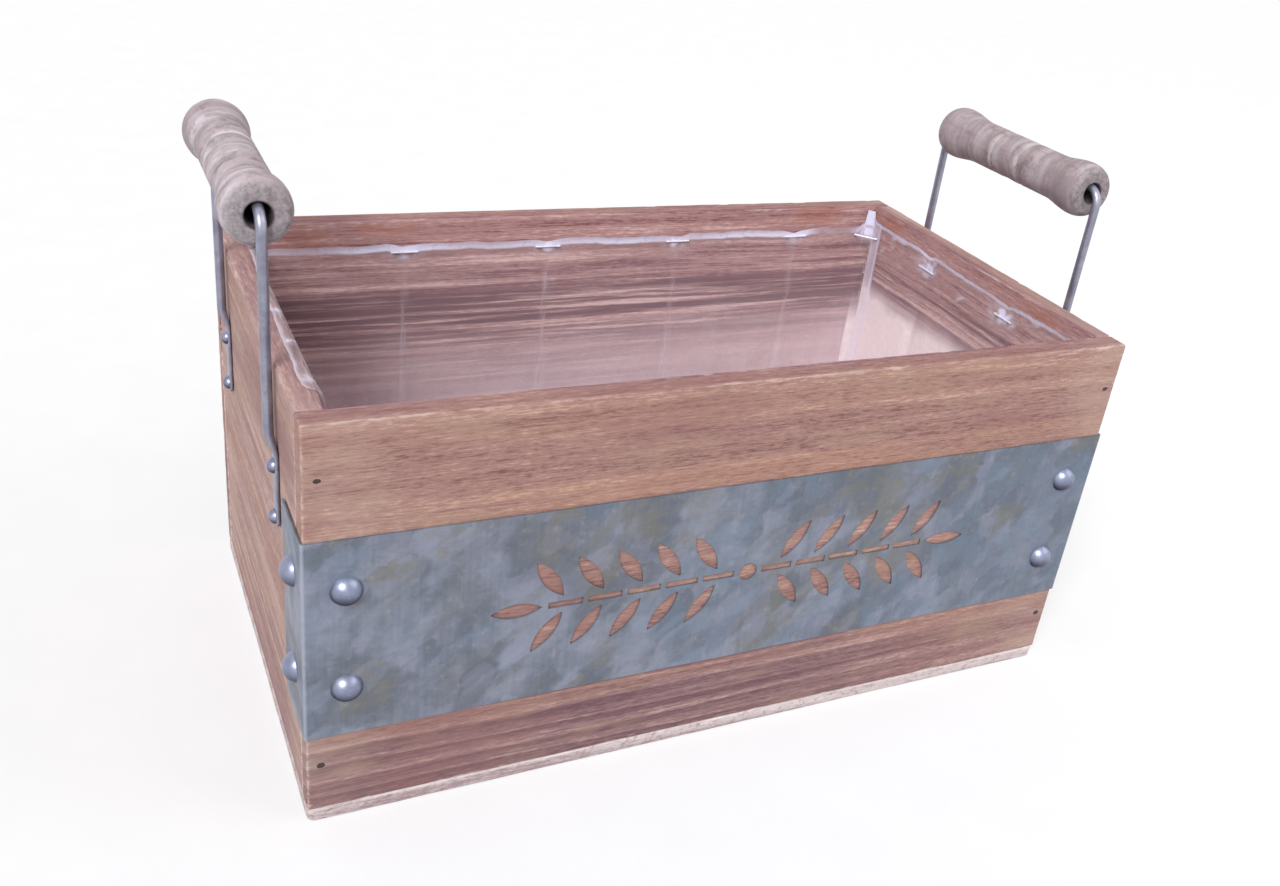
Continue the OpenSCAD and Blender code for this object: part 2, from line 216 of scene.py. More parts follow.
# Shader groups that several finishes share
def flamed_grain_group():
    """Growth rings, fibres and scorching of a board whose grain runs along the place's X."""
    w = start_group(
        "flamed grain",
        {"Place": (0.0, 0.0, 0.0), "Seed": 0.0, "Ring Pitch": 7.0, "Ring Wander": 5.0,
         "Rings": 0.3, "Lines": 0.3, "Bands": 0.4, "Fibres": 1.0, "Scorch": 0.0,
         "Pale": paint(200, 165, 147), "Middle": paint(172, 133, 122),
         "Dark": paint(136, 97, 88), "Scorched": paint(104, 74, 76)},
        {"Color": 4, "Height": 1, "Roughness": 1},
    )
    given = w.given
    drift = w.point(w.times(given["Seed"], 31.0), w.times(given["Seed"], 17.0), given["Seed"])
    place = w.shift(given["Place"], drift)
    x, y, z = w.parts(place)
    wander = w.swing(w.clouds(w.stretch(place, 0.008, 0.03, 0.03)), given["Ring Wander"])
    growth = w.add(w.add(y, w.times(z, 0.6)), wander)
    ring = w.math("DIVIDE", growth, given["Ring Pitch"])
    spread = w.swing(w.clouds(w.point(w.times(x, 0.004), w.times(ring, 0.7), 3.0), 3.0), 1.5)
    turn = w.math("FRACT", w.add(ring, spread))
    late = w.times(w.span(turn, 0.25, 0.75), w.span(turn, 1.0, 0.93))
    early = w.span(w.math("ABSOLUTE", w.math("SUBTRACT", turn, 0.12)), 0.16, 0.03)
    fading = w.clouds(w.stretch(place, 0.02, 0.12, 0.12), 3.0, 0.6)
    early = w.times(early, w.span(fading, 0.3, 0.55, 0.25, 1.0))
    lines = w.clouds(w.point(w.times(x, 0.004), w.times(growth, 0.2), 5.0), 5.0, 0.76)
    bands = w.clouds(w.point(w.times(x, 0.004), w.times(ring, 0.45), 9.0), 3.0, 0.6)
    fibres = w.clouds(w.stretch(place, 0.14, 1.8, 1.8), 5.0, 0.64)
    streaks = w.clouds(w.stretch(place, 0.03, 0.55, 0.55), 4.0, 0.62)
    flecks = w.clouds(w.stretch(place, 0.3, 1.1, 1.1), 3.0, 0.7)
    tone = w.add(0.5, w.times(early, w.times(given["Rings"], 0.8)))
    tone = w.math("SUBTRACT", tone, w.times(late, given["Rings"]))
    tone = w.add(tone, w.swing(bands, given["Bands"]))
    tone = w.add(tone, w.swing(lines, given["Lines"]))
    tone = w.add(tone, w.swing(fibres, w.times(given["Fibres"], 1.3)))
    tone = w.add(tone, w.swing(streaks, w.times(given["Fibres"], 0.7)))
    tone = w.add(tone, w.swing(flecks, w.times(given["Fibres"], 1.0)))
    below = w.blend(w.span(tone, 0.0, 0.5), given["Dark"], given["Middle"])
    colour = w.blend(w.span(tone, 0.5, 1.0), below, given["Pale"])
    burnt = w.times(given["Scorch"], w.add(w.times(late, 0.3), 0.7))
    burnt = w.math("SUBTRACT", burnt, w.swing(lines, w.add(w.times(given["Lines"], 0.9), 0.4)))
    burnt = w.add(burnt, w.swing(streaks, 1.0))
    burnt = w.math("SUBTRACT", burnt, w.times(early, w.times(given["Rings"], 1.4)))
    burnt = w.times(w.span(burnt, 0.3, 1.0), w.math("MINIMUM", given["Scorch"], 1.0))
    w.join(w.blend(burnt, colour, given["Scorched"]), w.result["Color"])
    height = w.add(w.times(fibres, 0.7), w.times(lines, 0.4))
    w.join(w.add(height, w.times(flecks, 0.15)), w.result["Height"])
    w.join(w.span(tone, 0.0, 1.0, 0.66, 0.86), w.result["Roughness"])
    return w.tree


def worn_arris_group():
    """Pale, rubbed wood where the mesh says that an arris is near, only here and there along it."""
    w = start_group(
        "worn arris",
        {"Place": (0.0, 0.0, 0.0), "Nearness": 0.0, "Amount": 1.0},
        {"Mask": 1},
    )
    patches = w.clouds(w.stretch(w.given["Place"], 0.12, 0.5, 0.5), 4.0, 0.65)
    stretches = w.clouds(w.stretch(w.given["Place"], 0.02, 0.02, 0.02), 3.0)
    level = w.add(w.given["Nearness"], w.swing(patches, 2.2))
    rubbed = w.times(w.span(level, 0.6, 1.2), w.span(stretches, 0.46, 0.6, 0.1, 1.0))
    w.join(w.times(rubbed, w.given["Amount"]), w.result["Mask"])
    return w.tree


def zinc_skin_group():
    """Colour, roughness and height of a zinc coat: soft stains, fine drawn scratches and dust."""
    w = start_group(
        "zinc skin",
        {"Place": (0.0, 0.0, 0.0), "Grain": (1.0, 1.0, 1.0), "Bright": paint(190, 196, 208),
         "Dull": paint(120, 124, 140), "Stain": paint(96, 90, 104), "Staining": 0.5},
        {"Color": 4, "Roughness": 1, "Height": 1},
    )
    given = w.given
    drawn = w.node("VectorMath", {0: given["Place"], 1: given["Grain"]}, operation="MULTIPLY")
    scratches = w.clouds(drawn.outputs[0], 4.0, 0.7)
    clouds = w.clouds(given["Place"], 3.0, 0.6, size=6.0)
    spots = w.clouds(given["Place"], 3.0, 0.6, size=2.4)
    shine = w.span(w.add(clouds, w.swing(scratches, 0.4)), 0.2, 0.8)
    colour = w.blend(shine, given["Dull"], given["Bright"])
    stained = w.times(w.span(w.add(spots, w.swing(clouds, 0.6)), 0.6, 0.85), given["Staining"])
    w.join(w.blend(stained, colour, given["Stain"]), w.result["Color"])
    rough = w.add(w.span(scratches, 0.2, 0.8, 0.3, 0.42), w.times(stained, 0.25))
    w.join(rough, w.result["Roughness"])
    w.join(w.add(w.times(scratches, 0.6), w.times(spots, 0.4)), w.result["Height"])
    return w.tree


def spangle_group():
    """Frosted crystal patches of hot-dip zinc with soft limits, each with its own tone and tint."""
    w = start_group(
        "zinc spangle",
        {"Place": (0.0, 0.0, 0.0), "Size": 20.0, "Fray": 3.0, "Softness": 0.2},
        {"Tone": 1, "Tint": 1},
    )
    given = w.given
    fray = w.node(
        "TexNoise", {"Vector": given["Place"], "Scale": 0.16, "Detail": 4.0, "Roughness": 0.6}
    ).outputs["Color"]
    centred = w.node("VectorMath", {0: fray, 1: (0.5, 0.5, 0.5)}, operation="SUBTRACT").outputs[0]
    pushed = w.node("VectorMath", {0: centred, "Scale": given["Fray"]}, operation="SCALE").outputs[0]
    place = w.shift(given["Place"], pushed)
    crystals = w.node(
        "TexVoronoi",
        {"Vector": place, "Scale": w.math("DIVIDE", 1.0, given["Size"])},
        feature="SMOOTH_F1",
    )
    w.join(given["Softness"], crystals.inputs["Smoothness"])
    levels = w.parts(crystals.outputs["Color"])
    w.join(levels["X"], w.result["Tone"])
    w.join(levels["Y"], w.result["Tint"])
    return w.tree


GRAIN = flamed_grain_group()
ARRIS = worn_arris_group()
ZINC = zinc_skin_group()
SPANGLE = spangle_group()

# Wood tones
FACE_TONES = {"Pale": paint(204, 171, 157), "Middle": paint(166, 129, 122),
              "Dark": paint(124, 88, 86), "Scorched": paint(110, 78, 80)}
WARM_TONES = {"Pale": paint(204, 168, 146), "Middle": paint(178, 138, 122),
              "Dark": paint(146, 106, 94), "Scorched": paint(124, 84, 80)}
LOW_TONES = {"Pale": paint(186, 155, 151), "Middle": paint(147, 116, 117),
             "Dark": paint(116, 86, 92), "Scorched": paint(96, 70, 82)}
END_TONES = {"Pale": paint(216, 188, 176), "Middle": paint(178, 147, 142),
             "Dark": paint(138, 104, 102), "Scorched": paint(110, 80, 84)}
# Inner tones: partly the wood's own, and paler than the outer ones as painted light that offsets the shade
# inside the box.
INNER_TONES = {"Pale": paint(232, 200, 196), "Middle": paint(182, 142, 140),
               "Dark": paint(129, 84, 90), "Scorched": paint(103, 62, 71)}
WORN_WOOD = paint(222, 200, 188)
# The colour below paints the film's glare over the inner wood low down.
GLARE_PALE_WOOD = paint(240, 218, 220)
DARK_STREAK = paint(142, 100, 108)
PALE_STREAK = paint(250, 226, 226)
TAN = paint(176, 148, 128)
SMOKED_BAND = paint(146, 114, 118)
SUNNED_BAND = paint(208, 180, 166)
RUDDY = paint(150, 108, 106)
RUBBED_END = paint(196, 170, 158)
RIM_SOOT = paint(106, 80, 96)
SOOTY = paint(238, 229, 238)
EMBER = paint(182, 118, 92)

# Where a wall's wood changes with height, in millimetres: the middle, reach and softness of the
# ringed band, and the heights between which the others fade in on the way down
RINGED_BAND = (84.0, 38.0, 10.0)
GLARE_PALE_BELOW = (98.0, 72.0)
STREAKED_BELOW = (100.0, 86.0)
DARK_BELOW = (60.0, 30.0)


def board_wood(name, along, inner_side, seed, outer, low_outer, heats, warm_heights, embers):
    """Flamed wood of a wall board: its own tones outside, darker and more banded inside."""
    material, w, shader, place = start_material(name)
    x, y, z = w.parts(place)
    run, depth = (x, y) if along == "x" else (y, x)
    grain_place = w.point(run, z, depth)
    face, board_end = (INNER_Y, BOX_END) if along == "x" else (INNER_X, INNER_Y)
    from_inside = w.math("SUBTRACT", w.times(depth, inner_side), face / MM)
    inside = w.span(from_inside, 2.4, 0.8)

    sway = w.swing(w.clouds(w.stretch(grain_place, 0.01, 0.05, 0.05), 3.0), 10.0)
    level = w.add(z, sway)
    heat = 0.16
    for middle, reach, amount in heats:
        heat = w.add(heat, w.times(w.near(level, middle, reach, 3.5), amount))
    ringed = w.near(z, *RINGED_BAND)
    within = w.use(GRAIN, {"Place": grain_place, "Seed": seed + 0.5, "Ring Pitch": 6.4,
                           "Ring Wander": 4.0, "Rings": 0.14,
                           "Lines": w.add(w.times(ringed, 2.8), 1.2), "Bands": 0.6,
                           "Fibres": 0.8, "Scorch": heat, **INNER_TONES})
    # Painted glare: the inner wood is paled low down, where the film shines.
    glare_paling = w.times(w.span(z, *GLARE_PALE_BELOW), 0.42)
    inner_colour = w.blend(glare_paling, within["Color"], GLARE_PALE_WOOD)
    streaks = w.clouds(w.stretch(grain_place, 0.006, 0.34, 0.34), 3.0, 0.6)
    streaky = w.times(w.span(z, *STREAKED_BELOW), w.span(run, 130.0, -30.0, 0.35, 1.0))
    dark_streaks = w.times(streaky, w.span(streaks, 0.52, 0.66, 0.0, 0.75))
    inner_colour = w.blend(dark_streaks, inner_colour, DARK_STREAK)
    pale_streaks = w.times(streaky, w.span(streaks, 0.48, 0.34, 0.0, 0.8))
    inner_colour = w.blend(pale_streaks, inner_colour, PALE_STREAK)
    glow = 0.0
    for place_run, height, reach in embers:
        spot = w.times(w.near(run, place_run, reach * 0.4, 14.0), w.near(z, height, 0.8, 4.5))
        glow = w.add(glow, spot)
    charring = w.clouds(w.stretch(grain_place, 0.06, 0.5, 0.5), 3.0, 0.6)
    charred = w.times(glow, w.span(charring, 0.36, 0.62, 0.0, 0.7))
    inner_colour = w.blend(charred, inner_colour, EMBER)

    common = {"Place": grain_place, "Seed": seed, "Ring Pitch": 9.0, "Rings": 0.1, "Lines": 0.7,
              "Bands": 0.8, "Fibres": 1.1}
    upper = w.use(GRAIN, {**common, "Scorch": 0.16, **outer})
    lower = w.use(GRAIN, {**common, "Scorch": 0.6, **low_outer, "Ring Pitch": 6.0, "Rings": 0.24,
                          "Lines": 1.7})
    warm = w.use(GRAIN, {**common, "Scorch": 0.0, **WARM_TONES})
    sooted = w.times(w.span(z, *DARK_BELOW, 0.0, 1.0 if along == "x" else 0.6),
                     w.span(x, 0.0, 140.0, 1.0, 0.5))
    outer_colour = w.blend(sooted, upper["Color"], lower["Color"])
    tanned = w.clouds(w.stretch(grain_place, 0.02, 0.06, 0.06), 3.0, 0.6)
    outer_colour = w.lay(outer_colour, tanned, 0.5, 0.68, 0.4, TAN)
    if along == "y":
        banded = w.clouds(w.stretch(grain_place, 0.005, 0.055, 0.055), 3.0, 0.55)
        outer_colour = w.lay(outer_colour, banded, 0.52, 0.64, 0.55, SMOKED_BAND)
        outer_colour = w.lay(outer_colour, banded, 0.46, 0.36, 0.5, SUNNED_BAND)
    patches = w.clouds(w.stretch(grain_place, 0.012, 0.12, 0.12), 3.0)
    warmth = 0.0
    for middle, reach, amount in warm_heights:
        warmth = w.add(warmth, w.times(w.near(z, middle, reach, 5.0), amount))
    warmth = w.times(warmth, w.span(patches, 0.3, 0.6))
    outer_colour = w.blend(warmth, outer_colour, warm["Color"])
    ruddy = w.clouds(w.stretch(grain_place, 0.014, 0.035, 0.035), 3.0, 0.6)
    outer_colour = w.lay(outer_colour, ruddy, 0.48, 0.66, 0.35, RUDDY)
    end_wear = w.span(w.math("ABSOLUTE", run), board_end / MM - 34, board_end / MM)
    end_wear = w.times(end_wear, w.span(ruddy, 0.6, 0.4, 0.1, 0.45))
    outer_colour = w.blend(end_wear, outer_colour, RUBBED_END)

    colour = w.blend(inside, outer_colour, inner_colour)
    soot = w.clouds(w.stretch(grain_place, 0.04, 0.3, 0.3), 4.0, 0.65)
    on_rim = w.span(z, RIM / MM - 1.4, RIM / MM - 0.4)
    colour = w.blend(w.times(on_rim, w.span(soot, 0.35, 0.6, 0.25, 1.0)), colour, SOOTY, "MULTIPLY")
    inner_line = w.times(w.near(from_inside, 1.3, 0.4, 0.9), w.span(soot, 0.38, 0.6, 0.05, 0.6))
    colour = w.blend(w.times(on_rim, inner_line), colour, RIM_SOOT)
    nearness = w.node("Attribute", attribute_name="arris").outputs["Fac"]
    worn = w.use(ARRIS, {"Place": grain_place, "Nearness": nearness, "Amount": 0.6})["Mask"]
    w.join(w.blend(worn, colour, WORN_WOOD), shader["Base Color"])
    w.join(w.between(inside, upper["Roughness"], within["Roughness"]), shader["Roughness"])
    height = w.between(inside, upper["Height"], within["Height"])
    w.join(w.bump(height, 0.4, 0.9), shader["Normal"])
    shader["Specular IOR Level"].default_value = 0.2
    return material


PLATE_FUZZ = paint(152, 124, 130)
PLATE_WORN = paint(232, 222, 220)


def bottom_wood():
    """Pale thin board, rough at its edges and greyed by handling."""
    material, w, shader, place = start_material("pale_bottom_wood")
    grain = w.use(GRAIN, {"Place": place, "Seed": 4.0, "Ring Pitch": 12.0, "Rings": 0.2,
                          "Lines": 0.4, "Bands": 0.5, "Fibres": 1.0, "Scorch": 0.1,
                          "Pale": paint(228, 217, 216), "Middle": paint(207, 192, 192),
                          "Dark": paint(164, 142, 146), "Scorched": paint(132, 106, 112)})
    fuzz = w.clouds(w.stretch(place, 0.4, 0.6, 0.6), 4.0, 0.7)
    colour = w.lay(grain["Color"], fuzz, 0.5, 0.72, 0.75, PLATE_FUZZ)
    nearness = w.node("Attribute", attribute_name="arris").outputs["Fac"]
    worn = w.use(ARRIS, {"Place": place, "Nearness": nearness, "Amount": 0.7})["Mask"]
    w.join(w.blend(worn, colour, PLATE_WORN), shader["Base Color"])
    w.join(grain["Roughness"], shader["Roughness"])
    w.join(w.bump(w.add(grain["Height"], w.times(fuzz, 0.6)), 0.4, 0.8), shader["Normal"])
    shader["Specular IOR Level"].default_value = 0.25
    return material


GRIP_BLUSH = paint(194, 172, 172)
CUT_RING_DARK = paint(146, 134, 142)
CUT_RING_PALE = paint(220, 212, 218)
HOOP_PALE = paint(220, 213, 219)
HOOP_DARK = paint(154, 141, 148)
GRIP_MOTTLE = paint(146, 139, 141)
GRIP_GREY = paint(138, 121, 124)
GROOVE_PALE = paint(210, 203, 200)
GRIP_STAIN = paint(128, 108, 110)
END_DARK = paint(112, 105, 110)
END_PALE = paint(162, 153, 156)
BORE_DARK = paint(58, 48, 56)


def grip_wood(name, seed, greyed):
    """Turned wood gone grey: cut rings round the grip, pale grooves, stains and darker ends."""
    material, w, shader, place = start_material(name)
    x, y, z = w.parts(place)
    centred = w.point(y, x, z)
    grain = w.use(GRAIN, {"Place": centred, "Seed": seed, "Ring Pitch": 8.0, "Rings": 0.08,
                          "Lines": 0.3, "Bands": 0.5, "Fibres": 0.45, "Scorch": 0.05,
                          "Pale": paint(216, 203, 207), "Middle": paint(191, 176, 182),
                          "Dark": paint(152, 136, 142), "Scorched": paint(122, 104, 110)})
    sway = w.clouds(place, 2.0, 0.5, size=9.0)
    along = w.add(y, w.swing(sway, 5.0))
    turning = w.clouds(w.point(w.times(x, 0.05), w.times(along, 0.5), w.times(z, 0.05)), 4.0, 0.65)
    hoops = w.clouds(w.point(w.times(x, 0.04), w.times(along, 0.16), w.times(z, 0.04)), 2.0)
    blush = w.clouds(place, 2.0, 0.5, size=14.0)
    colour = w.lay(grain["Color"], blush, 0.45, 0.7, 0.5, GRIP_BLUSH)
    colour = w.lay(colour, turning, 0.5, 0.66, 0.6, CUT_RING_DARK)
    colour = w.lay(colour, turning, 0.42, 0.28, 0.4, CUT_RING_PALE)
    colour = w.lay(colour, hoops, 0.5, 0.64, 0.6, HOOP_PALE)
    colour = w.lay(colour, hoops, 0.48, 0.36, 0.6, HOOP_DARK)
    mottle = w.clouds(place, 4.0, 0.7, size=5.0)
    colour = w.lay(colour, mottle, 0.48, 0.66, 0.65, GRIP_MOTTLE)
    colour = w.blend(greyed, colour, GRIP_GREY)
    middle = w.math("ABSOLUTE", along)
    groove = w.near(middle, GROOVE_OFF, 0.6, 1.8)
    rubbed = w.clouds(w.shift(place, (0.0, seed * 7.0, 3.0)), 3.0, 0.6, size=8.0)
    worn = w.times(groove, w.span(rubbed, 0.35, 0.6, 0.15, 0.6))
    colour = w.blend(worn, colour, GROOVE_PALE)
    stains = w.clouds(w.shift(place, (seed * 9.0, seed * 5.0, 0.0)), 4.0, 0.65, size=6.5)
    damp = w.near(middle, GROOVE_OFF + 3.0, 5.0, 7.0)
    stained = w.span(w.add(stains, w.times(damp, 0.06)), 0.58, 0.74, 0.0, 0.65)
    colour = w.blend(stained, colour, GRIP_STAIN)
    end = w.span(w.math("ABSOLUTE", y), GRIP_HALF - 3.0, GRIP_HALF - 0.2)
    end_grain = w.clouds(place, 4.0, 0.7, size=2.0)
    end_colour = w.blend(w.span(end_grain, 0.35, 0.65), END_DARK, END_PALE)
    colour = w.blend(w.times(end, 0.8), colour, end_colour)
    off_x = w.math("SUBTRACT", w.math("ABSOLUTE", x), GRIP_X)
    off_z = w.math("SUBTRACT", z, GRIP_Z)
    across = w.math("SQRT", w.add(w.times(off_x, off_x), w.times(off_z, off_z)))
    # Painted shade: the bore's wall and lip are darkened.
    bore = w.span(across, BORE_R + 0.9, BORE_R + 0.1)
    w.join(w.blend(w.times(bore, 0.85), colour, BORE_DARK), shader["Base Color"])
    w.join(w.span(turning, 0.2, 0.8, 0.62, 0.82), shader["Roughness"])
    height = w.add(w.times(turning, 0.8), w.times(grain["Height"], 0.4))
    w.join(w.bump(height, 0.3, 0.8), shader["Normal"])
    shader["Specular IOR Level"].default_value = 0.25
    return material


SHEET_DARK = paint(103, 109, 122)
SHEET_PALE = paint(140, 145, 161)
SHEET_SHADED = paint(100, 112, 128)
SHEET_OLIVE = paint(119, 117, 108)
SHEET_LAVENDER = paint(148, 150, 172)
SHEET_SEA = paint(116, 135, 154)
STROKE_DARK = paint(108, 112, 112)
STROKE_PALE = paint(142, 152, 172)
BEND_PALE_LINE = paint(176, 180, 196)
SHEET_DUST = paint(162, 159, 164)
SHEET_GRIME = paint(94, 98, 104)


def galvanised_sheet():
    """Dull blue-grey zinc sheet: olive and lavender spangles, slanting strokes, a pale line along each
    bend.
    """
    material, w, shader, place = start_material("spangled_zinc_sheet")
    x, y, z = w.parts(place)
    slant = w.add(w.add(x, y), w.times(z, -0.35))
    flat = w.point(w.times(slant, 1.25), w.add(z, w.times(x, 0.12)), 0.0)
    coarse = w.use(SPANGLE, {"Place": flat, "Size": 25.0, "Fray": 12.0, "Softness": 0.5})
    fine = w.use(SPANGLE, {"Place": w.shift(flat, (70.0, 40.0, 0.0)), "Size": 11.0, "Fray": 8.0,
                           "Softness": 0.45})
    tone = w.add(w.times(coarse["Tone"], 0.5), w.times(fine["Tone"], 0.5))
    brushed = w.clouds(w.stretch(place, 0.8, 0.8, 0.035), 3.0, 0.7)
    soft = w.clouds(place, 4.0, 0.7, size=12.0)
    tone = w.add(tone, w.add(w.swing(brushed, 0.35), w.swing(soft, 0.7)))
    colour = w.blend(w.span(tone, 0.1, 0.9), SHEET_DARK, SHEET_PALE)
    shaded = w.span(x, 40.0, 150.0, 0.0, 0.3)
    colour = w.blend(shaded, colour, SHEET_SHADED)
    olive = w.times(w.span(coarse["Tint"], 0.5, 0.7), w.span(soft, 0.4, 0.58))
    colour = w.blend(w.times(olive, 0.65), colour, SHEET_OLIVE)
    lavender = w.span(fine["Tint"], 0.62, 0.85)
    colour = w.blend(w.times(lavender, 0.25), colour, SHEET_LAVENDER)
    sea = w.times(w.span(coarse["Tint"], 0.4, 0.2), w.span(soft, 0.6, 0.42))
    colour = w.blend(w.times(sea, 0.45), colour, SHEET_SEA)
    across = w.times(w.add(slant, w.times(z, -0.9)), 0.08)
    slanting = w.clouds(w.point(across, w.times(z, 0.03), 2.0), 2.0)
    colour = w.lay(colour, slanting, 0.54, 0.68, 0.3, STROKE_DARK)
    colour = w.lay(colour, slanting, 0.42, 0.3, 0.28, STROKE_PALE)
    bend = w.math("MINIMUM", w.near(w.math("ABSOLUTE", x), BOX_END / MM + 0.5, 0.3, 0.9),
                  w.near(y, -BOX_FACE / MM - 0.5, 0.3, 0.9))
    colour = w.blend(w.times(bend, 0.6), colour, BEND_PALE_LINE)
    dust = w.clouds(place, 4.0, 0.7, size=3.0)
    colour = w.lay(colour, dust, 0.54, 0.76, 0.4, SHEET_DUST)
    darkening = w.clouds(w.shift(place, (40.0, 0.0, 0.0)), 4.0, 0.75, size=4.0)
    colour = w.lay(colour, darkening, 0.55, 0.75, 0.4, SHEET_GRIME)
    w.join(colour, shader["Base Color"])
    shader["Metallic"].default_value = 0.5
    rough = w.add(w.span(tone, 0.2, 0.8, 0.56, 0.46), w.times(w.span(dust, 0.5, 0.8), 0.12))
    w.join(rough, shader["Roughness"])
    dents = w.clouds(w.stretch(place, 0.09, 0.09, 0.16), 2.0, 0.5, twist=0.6)
    height = w.add(w.times(brushed, 0.03), w.times(dents, 1.0))
    w.join(w.bump(height, 1.1, 0.7), shader["Normal"])
    return material


def zinc_finish(name, grain, bright, dull, stain_and_shade, staining, metal, depth, darkening=0.0):
    """Zinc-plated steel with its own tones and direction of drawing, and painted shade that makes it
    dimmer where it faces down.
    """
    material, w, shader, place = start_material(name)
    skin = w.use(ZINC, {"Place": place, "Grain": grain, "Bright": bright, "Dull": dull,
                        "Stain": stain_and_shade, "Staining": staining})
    facing = w.parts(w.node("NewGeometry").outputs["Normal"])["Z"]
    # Painted shade: faces that look down blend towards the darkest tone, by the given amount.
    painted_underside_shade = w.times(w.span(facing, 0.35, -0.65), darkening)
    w.join(w.blend(painted_underside_shade, skin["Color"], stain_and_shade), shader["Base Color"])
    w.join(skin["Roughness"], shader["Roughness"])
    shader["Metallic"].default_value = metal
    w.join(w.bump(skin["Height"], depth, 0.6), shader["Normal"])
    return material


FILM_CLEAR = paint(238, 218, 226)
# Painted glare: the colour that whitens the haziest film.
FILM_GLARE = paint(255, 240, 243)
# Whitening of the film's edge and creases, partly its own and partly painted glints.
FILM_WHITE = paint(234, 232, 255)


def liner_film():
    """Thin clear film: hazy low down, and whitened further by painted glare where it is haziest, on the
    right wall and in the corner folds; white at its edge and creases, partly its own whitening and partly
    painted glints.
    """
    material, w, shader, place = start_material("creased_clear_film")
    haze_and_glare = w.node("Attribute", attribute_name="haze_and_glare").outputs["Fac"]
    crease_and_glint = w.node("Attribute", attribute_name="crease_and_glint").outputs["Fac"]
    curtains = w.clouds(w.stretch(place, 0.1, 0.1, 0.02), 3.0, 0.6)
    ripples = w.clouds(place, 4.0, 0.6, size=11.0)
    scuffs = w.clouds(place, 4.0, 0.7, size=2.2)
    broken = w.times(crease_and_glint, w.span(scuffs, 0.2, 0.5, 0.7, 1.0))
    uneven = w.add(w.times(curtains, 0.4), w.times(ripples, 0.6))
    cloudy = w.times(haze_and_glare, w.span(uneven, 0.3, 0.7, 0.88, 1.1))
    # Painted glare: where the film is haziest, on the right wall and in the corner folds, it is whitened.
    glare_tint = w.blend(w.span(haze_and_glare, 0.5, 0.85), FILM_CLEAR, FILM_GLARE)
    # Edge and creases whitened, partly the film's own whitening and partly painted glints.
    w.join(w.blend(crease_and_glint, glare_tint, FILM_WHITE), shader["Base Color"])
    w.join(w.math("MINIMUM", w.add(cloudy, w.times(broken, 0.95)), 1.0), shader["Alpha"])
    w.join(w.span(scuffs, 0.2, 0.8, 0.2, 0.42), shader["Roughness"])
    w.join(w.bump(w.add(ripples, w.times(scuffs, 0.3)), 0.8, 0.5), shader["Normal"])
    return material


# Meshes
def add_piece(name, points, faces, material, node, body="planter"):
    """A smooth mesh piece that stands for a CAD node and moves with its body."""
    mesh = bpy.data.meshes.new(name)
    mesh.from_pydata([tuple(point) for point in points], [], faces)
    mesh.materials.append(material)
    piece = put(name, mesh)
    smooth(piece)
    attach(piece, body)
    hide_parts(node)
    return piece


def smooth(piece, sharp_angle=40):
    mesh = piece.data
    mesh.polygons.foreach_set("use_smooth", [True] * len(mesh.polygons))
    mesh.set_sharp_from_angle(angle=math.radians(sharp_angle))
    mesh.update()


def set_values(piece, name, values):
    """Keeps one number for each point of the mesh, which the finish reads by its name."""
    layer = piece.data.attributes.new(name, "FLOAT", "POINT")
    layer.data.foreach_set("value", values)


def cut(piece, tool):
    """Cuts the tool's shape out of the piece."""
    change = piece.modifiers.new("cut", "BOOLEAN")
    change.operation = "DIFFERENCE"
    change.solver = "EXACT"
    change.object = tool
    bpy.context.view_layer.update()
    graph = bpy.context.evaluated_depsgraph_get()
    result = bpy.data.meshes.new_from_object(piece.evaluated_get(graph), depsgraph=graph)
    piece.modifiers.clear()
    piece.data = result
    bpy.data.objects.remove(tool)
    smooth(piece)


def even_lines(low, high, step, near=(0.0,)):
    """Grid lines from low to high: set distances from both ends, and even steps between them."""
    first, last = low + near[-1], high - near[-1]
    count = max(1, round((last - first) / step))
    middle = [first + (last - first) * i / count for i in range(count + 1)]
    return [low + d for d in near[:-1]] + middle + [high - d for d in reversed(near[:-1])]


def lattice_skin(lines):
    """Points and faces of the skin of a box, on the given grid lines along its three axes."""
    found, points, faces = {}, [], []

    def corner(key):
        if key not in found:
            found[key] = len(points)
            points.append(Vector([lines[axis][key[axis]] for axis in range(3)]))
        return found[key]

    for axis in range(3):
        u, v = (axis + 1) % 3, (axis + 2) % 3
        for end in (0, len(lines[axis]) - 1):
            for i in range(len(lines[u]) - 1):
                for j in range(len(lines[v]) - 1):
                    ring = [(i, j), (i + 1, j), (i + 1, j + 1), (i, j + 1)]
                    if end == 0:
                        ring.reverse()
                    face = []
                    for a, b in ring:
                        key = [0, 0, 0]
                        key[axis], key[u], key[v] = end, a, b
                        face.append(corner(tuple(key)))
                    faces.append(face)
    return points, faces


def ease(value, low, high):
    """A soft step from 0 to 1 while the value goes from low to high."""
    share = min(1.0, max(0.0, (value - low) / (high - low)))
    return share * share * (3 - 2 * share)


def hump(distance, width):
    """1 where the distance is nothing, falling off softly to both sides."""
    return math.exp(-(distance / width) ** 2)


def waver(x, y, z):
    """Smooth noise from -1 to 1."""
    return noise.noise(Vector((x, y, z)))


def ripple(point, x, y, z, seed=0.0):
    """Smooth noise at a point in metres, with that many swells a millimetre along each axis."""
    return waver(point.x / MM * x + seed, point.y / MM * y - seed, point.z / MM * z)


# Boards
ARRIS_LINES = [0.0, 0.35 * MM, 0.8 * MM, 1.4 * MM, 2.2 * MM, 3.2 * MM]
ALONG_STEP, ACROSS_STEP, THROUGH_STEP = 2.0 * MM, 1.0 * MM, 1.3 * MM
ARRIS_R = 0.9 * MM
WORN_REACH = 3.0 * MM


def arris_nearness(point, low, high, reach):
    """1 on an arris of the box, down to 0 at this reach from it."""
    gaps = sorted(min(point[a] - low[a], high[a] - point[a]) for a in range(3))
    return max(0.0, 1 - gaps[1] / reach)


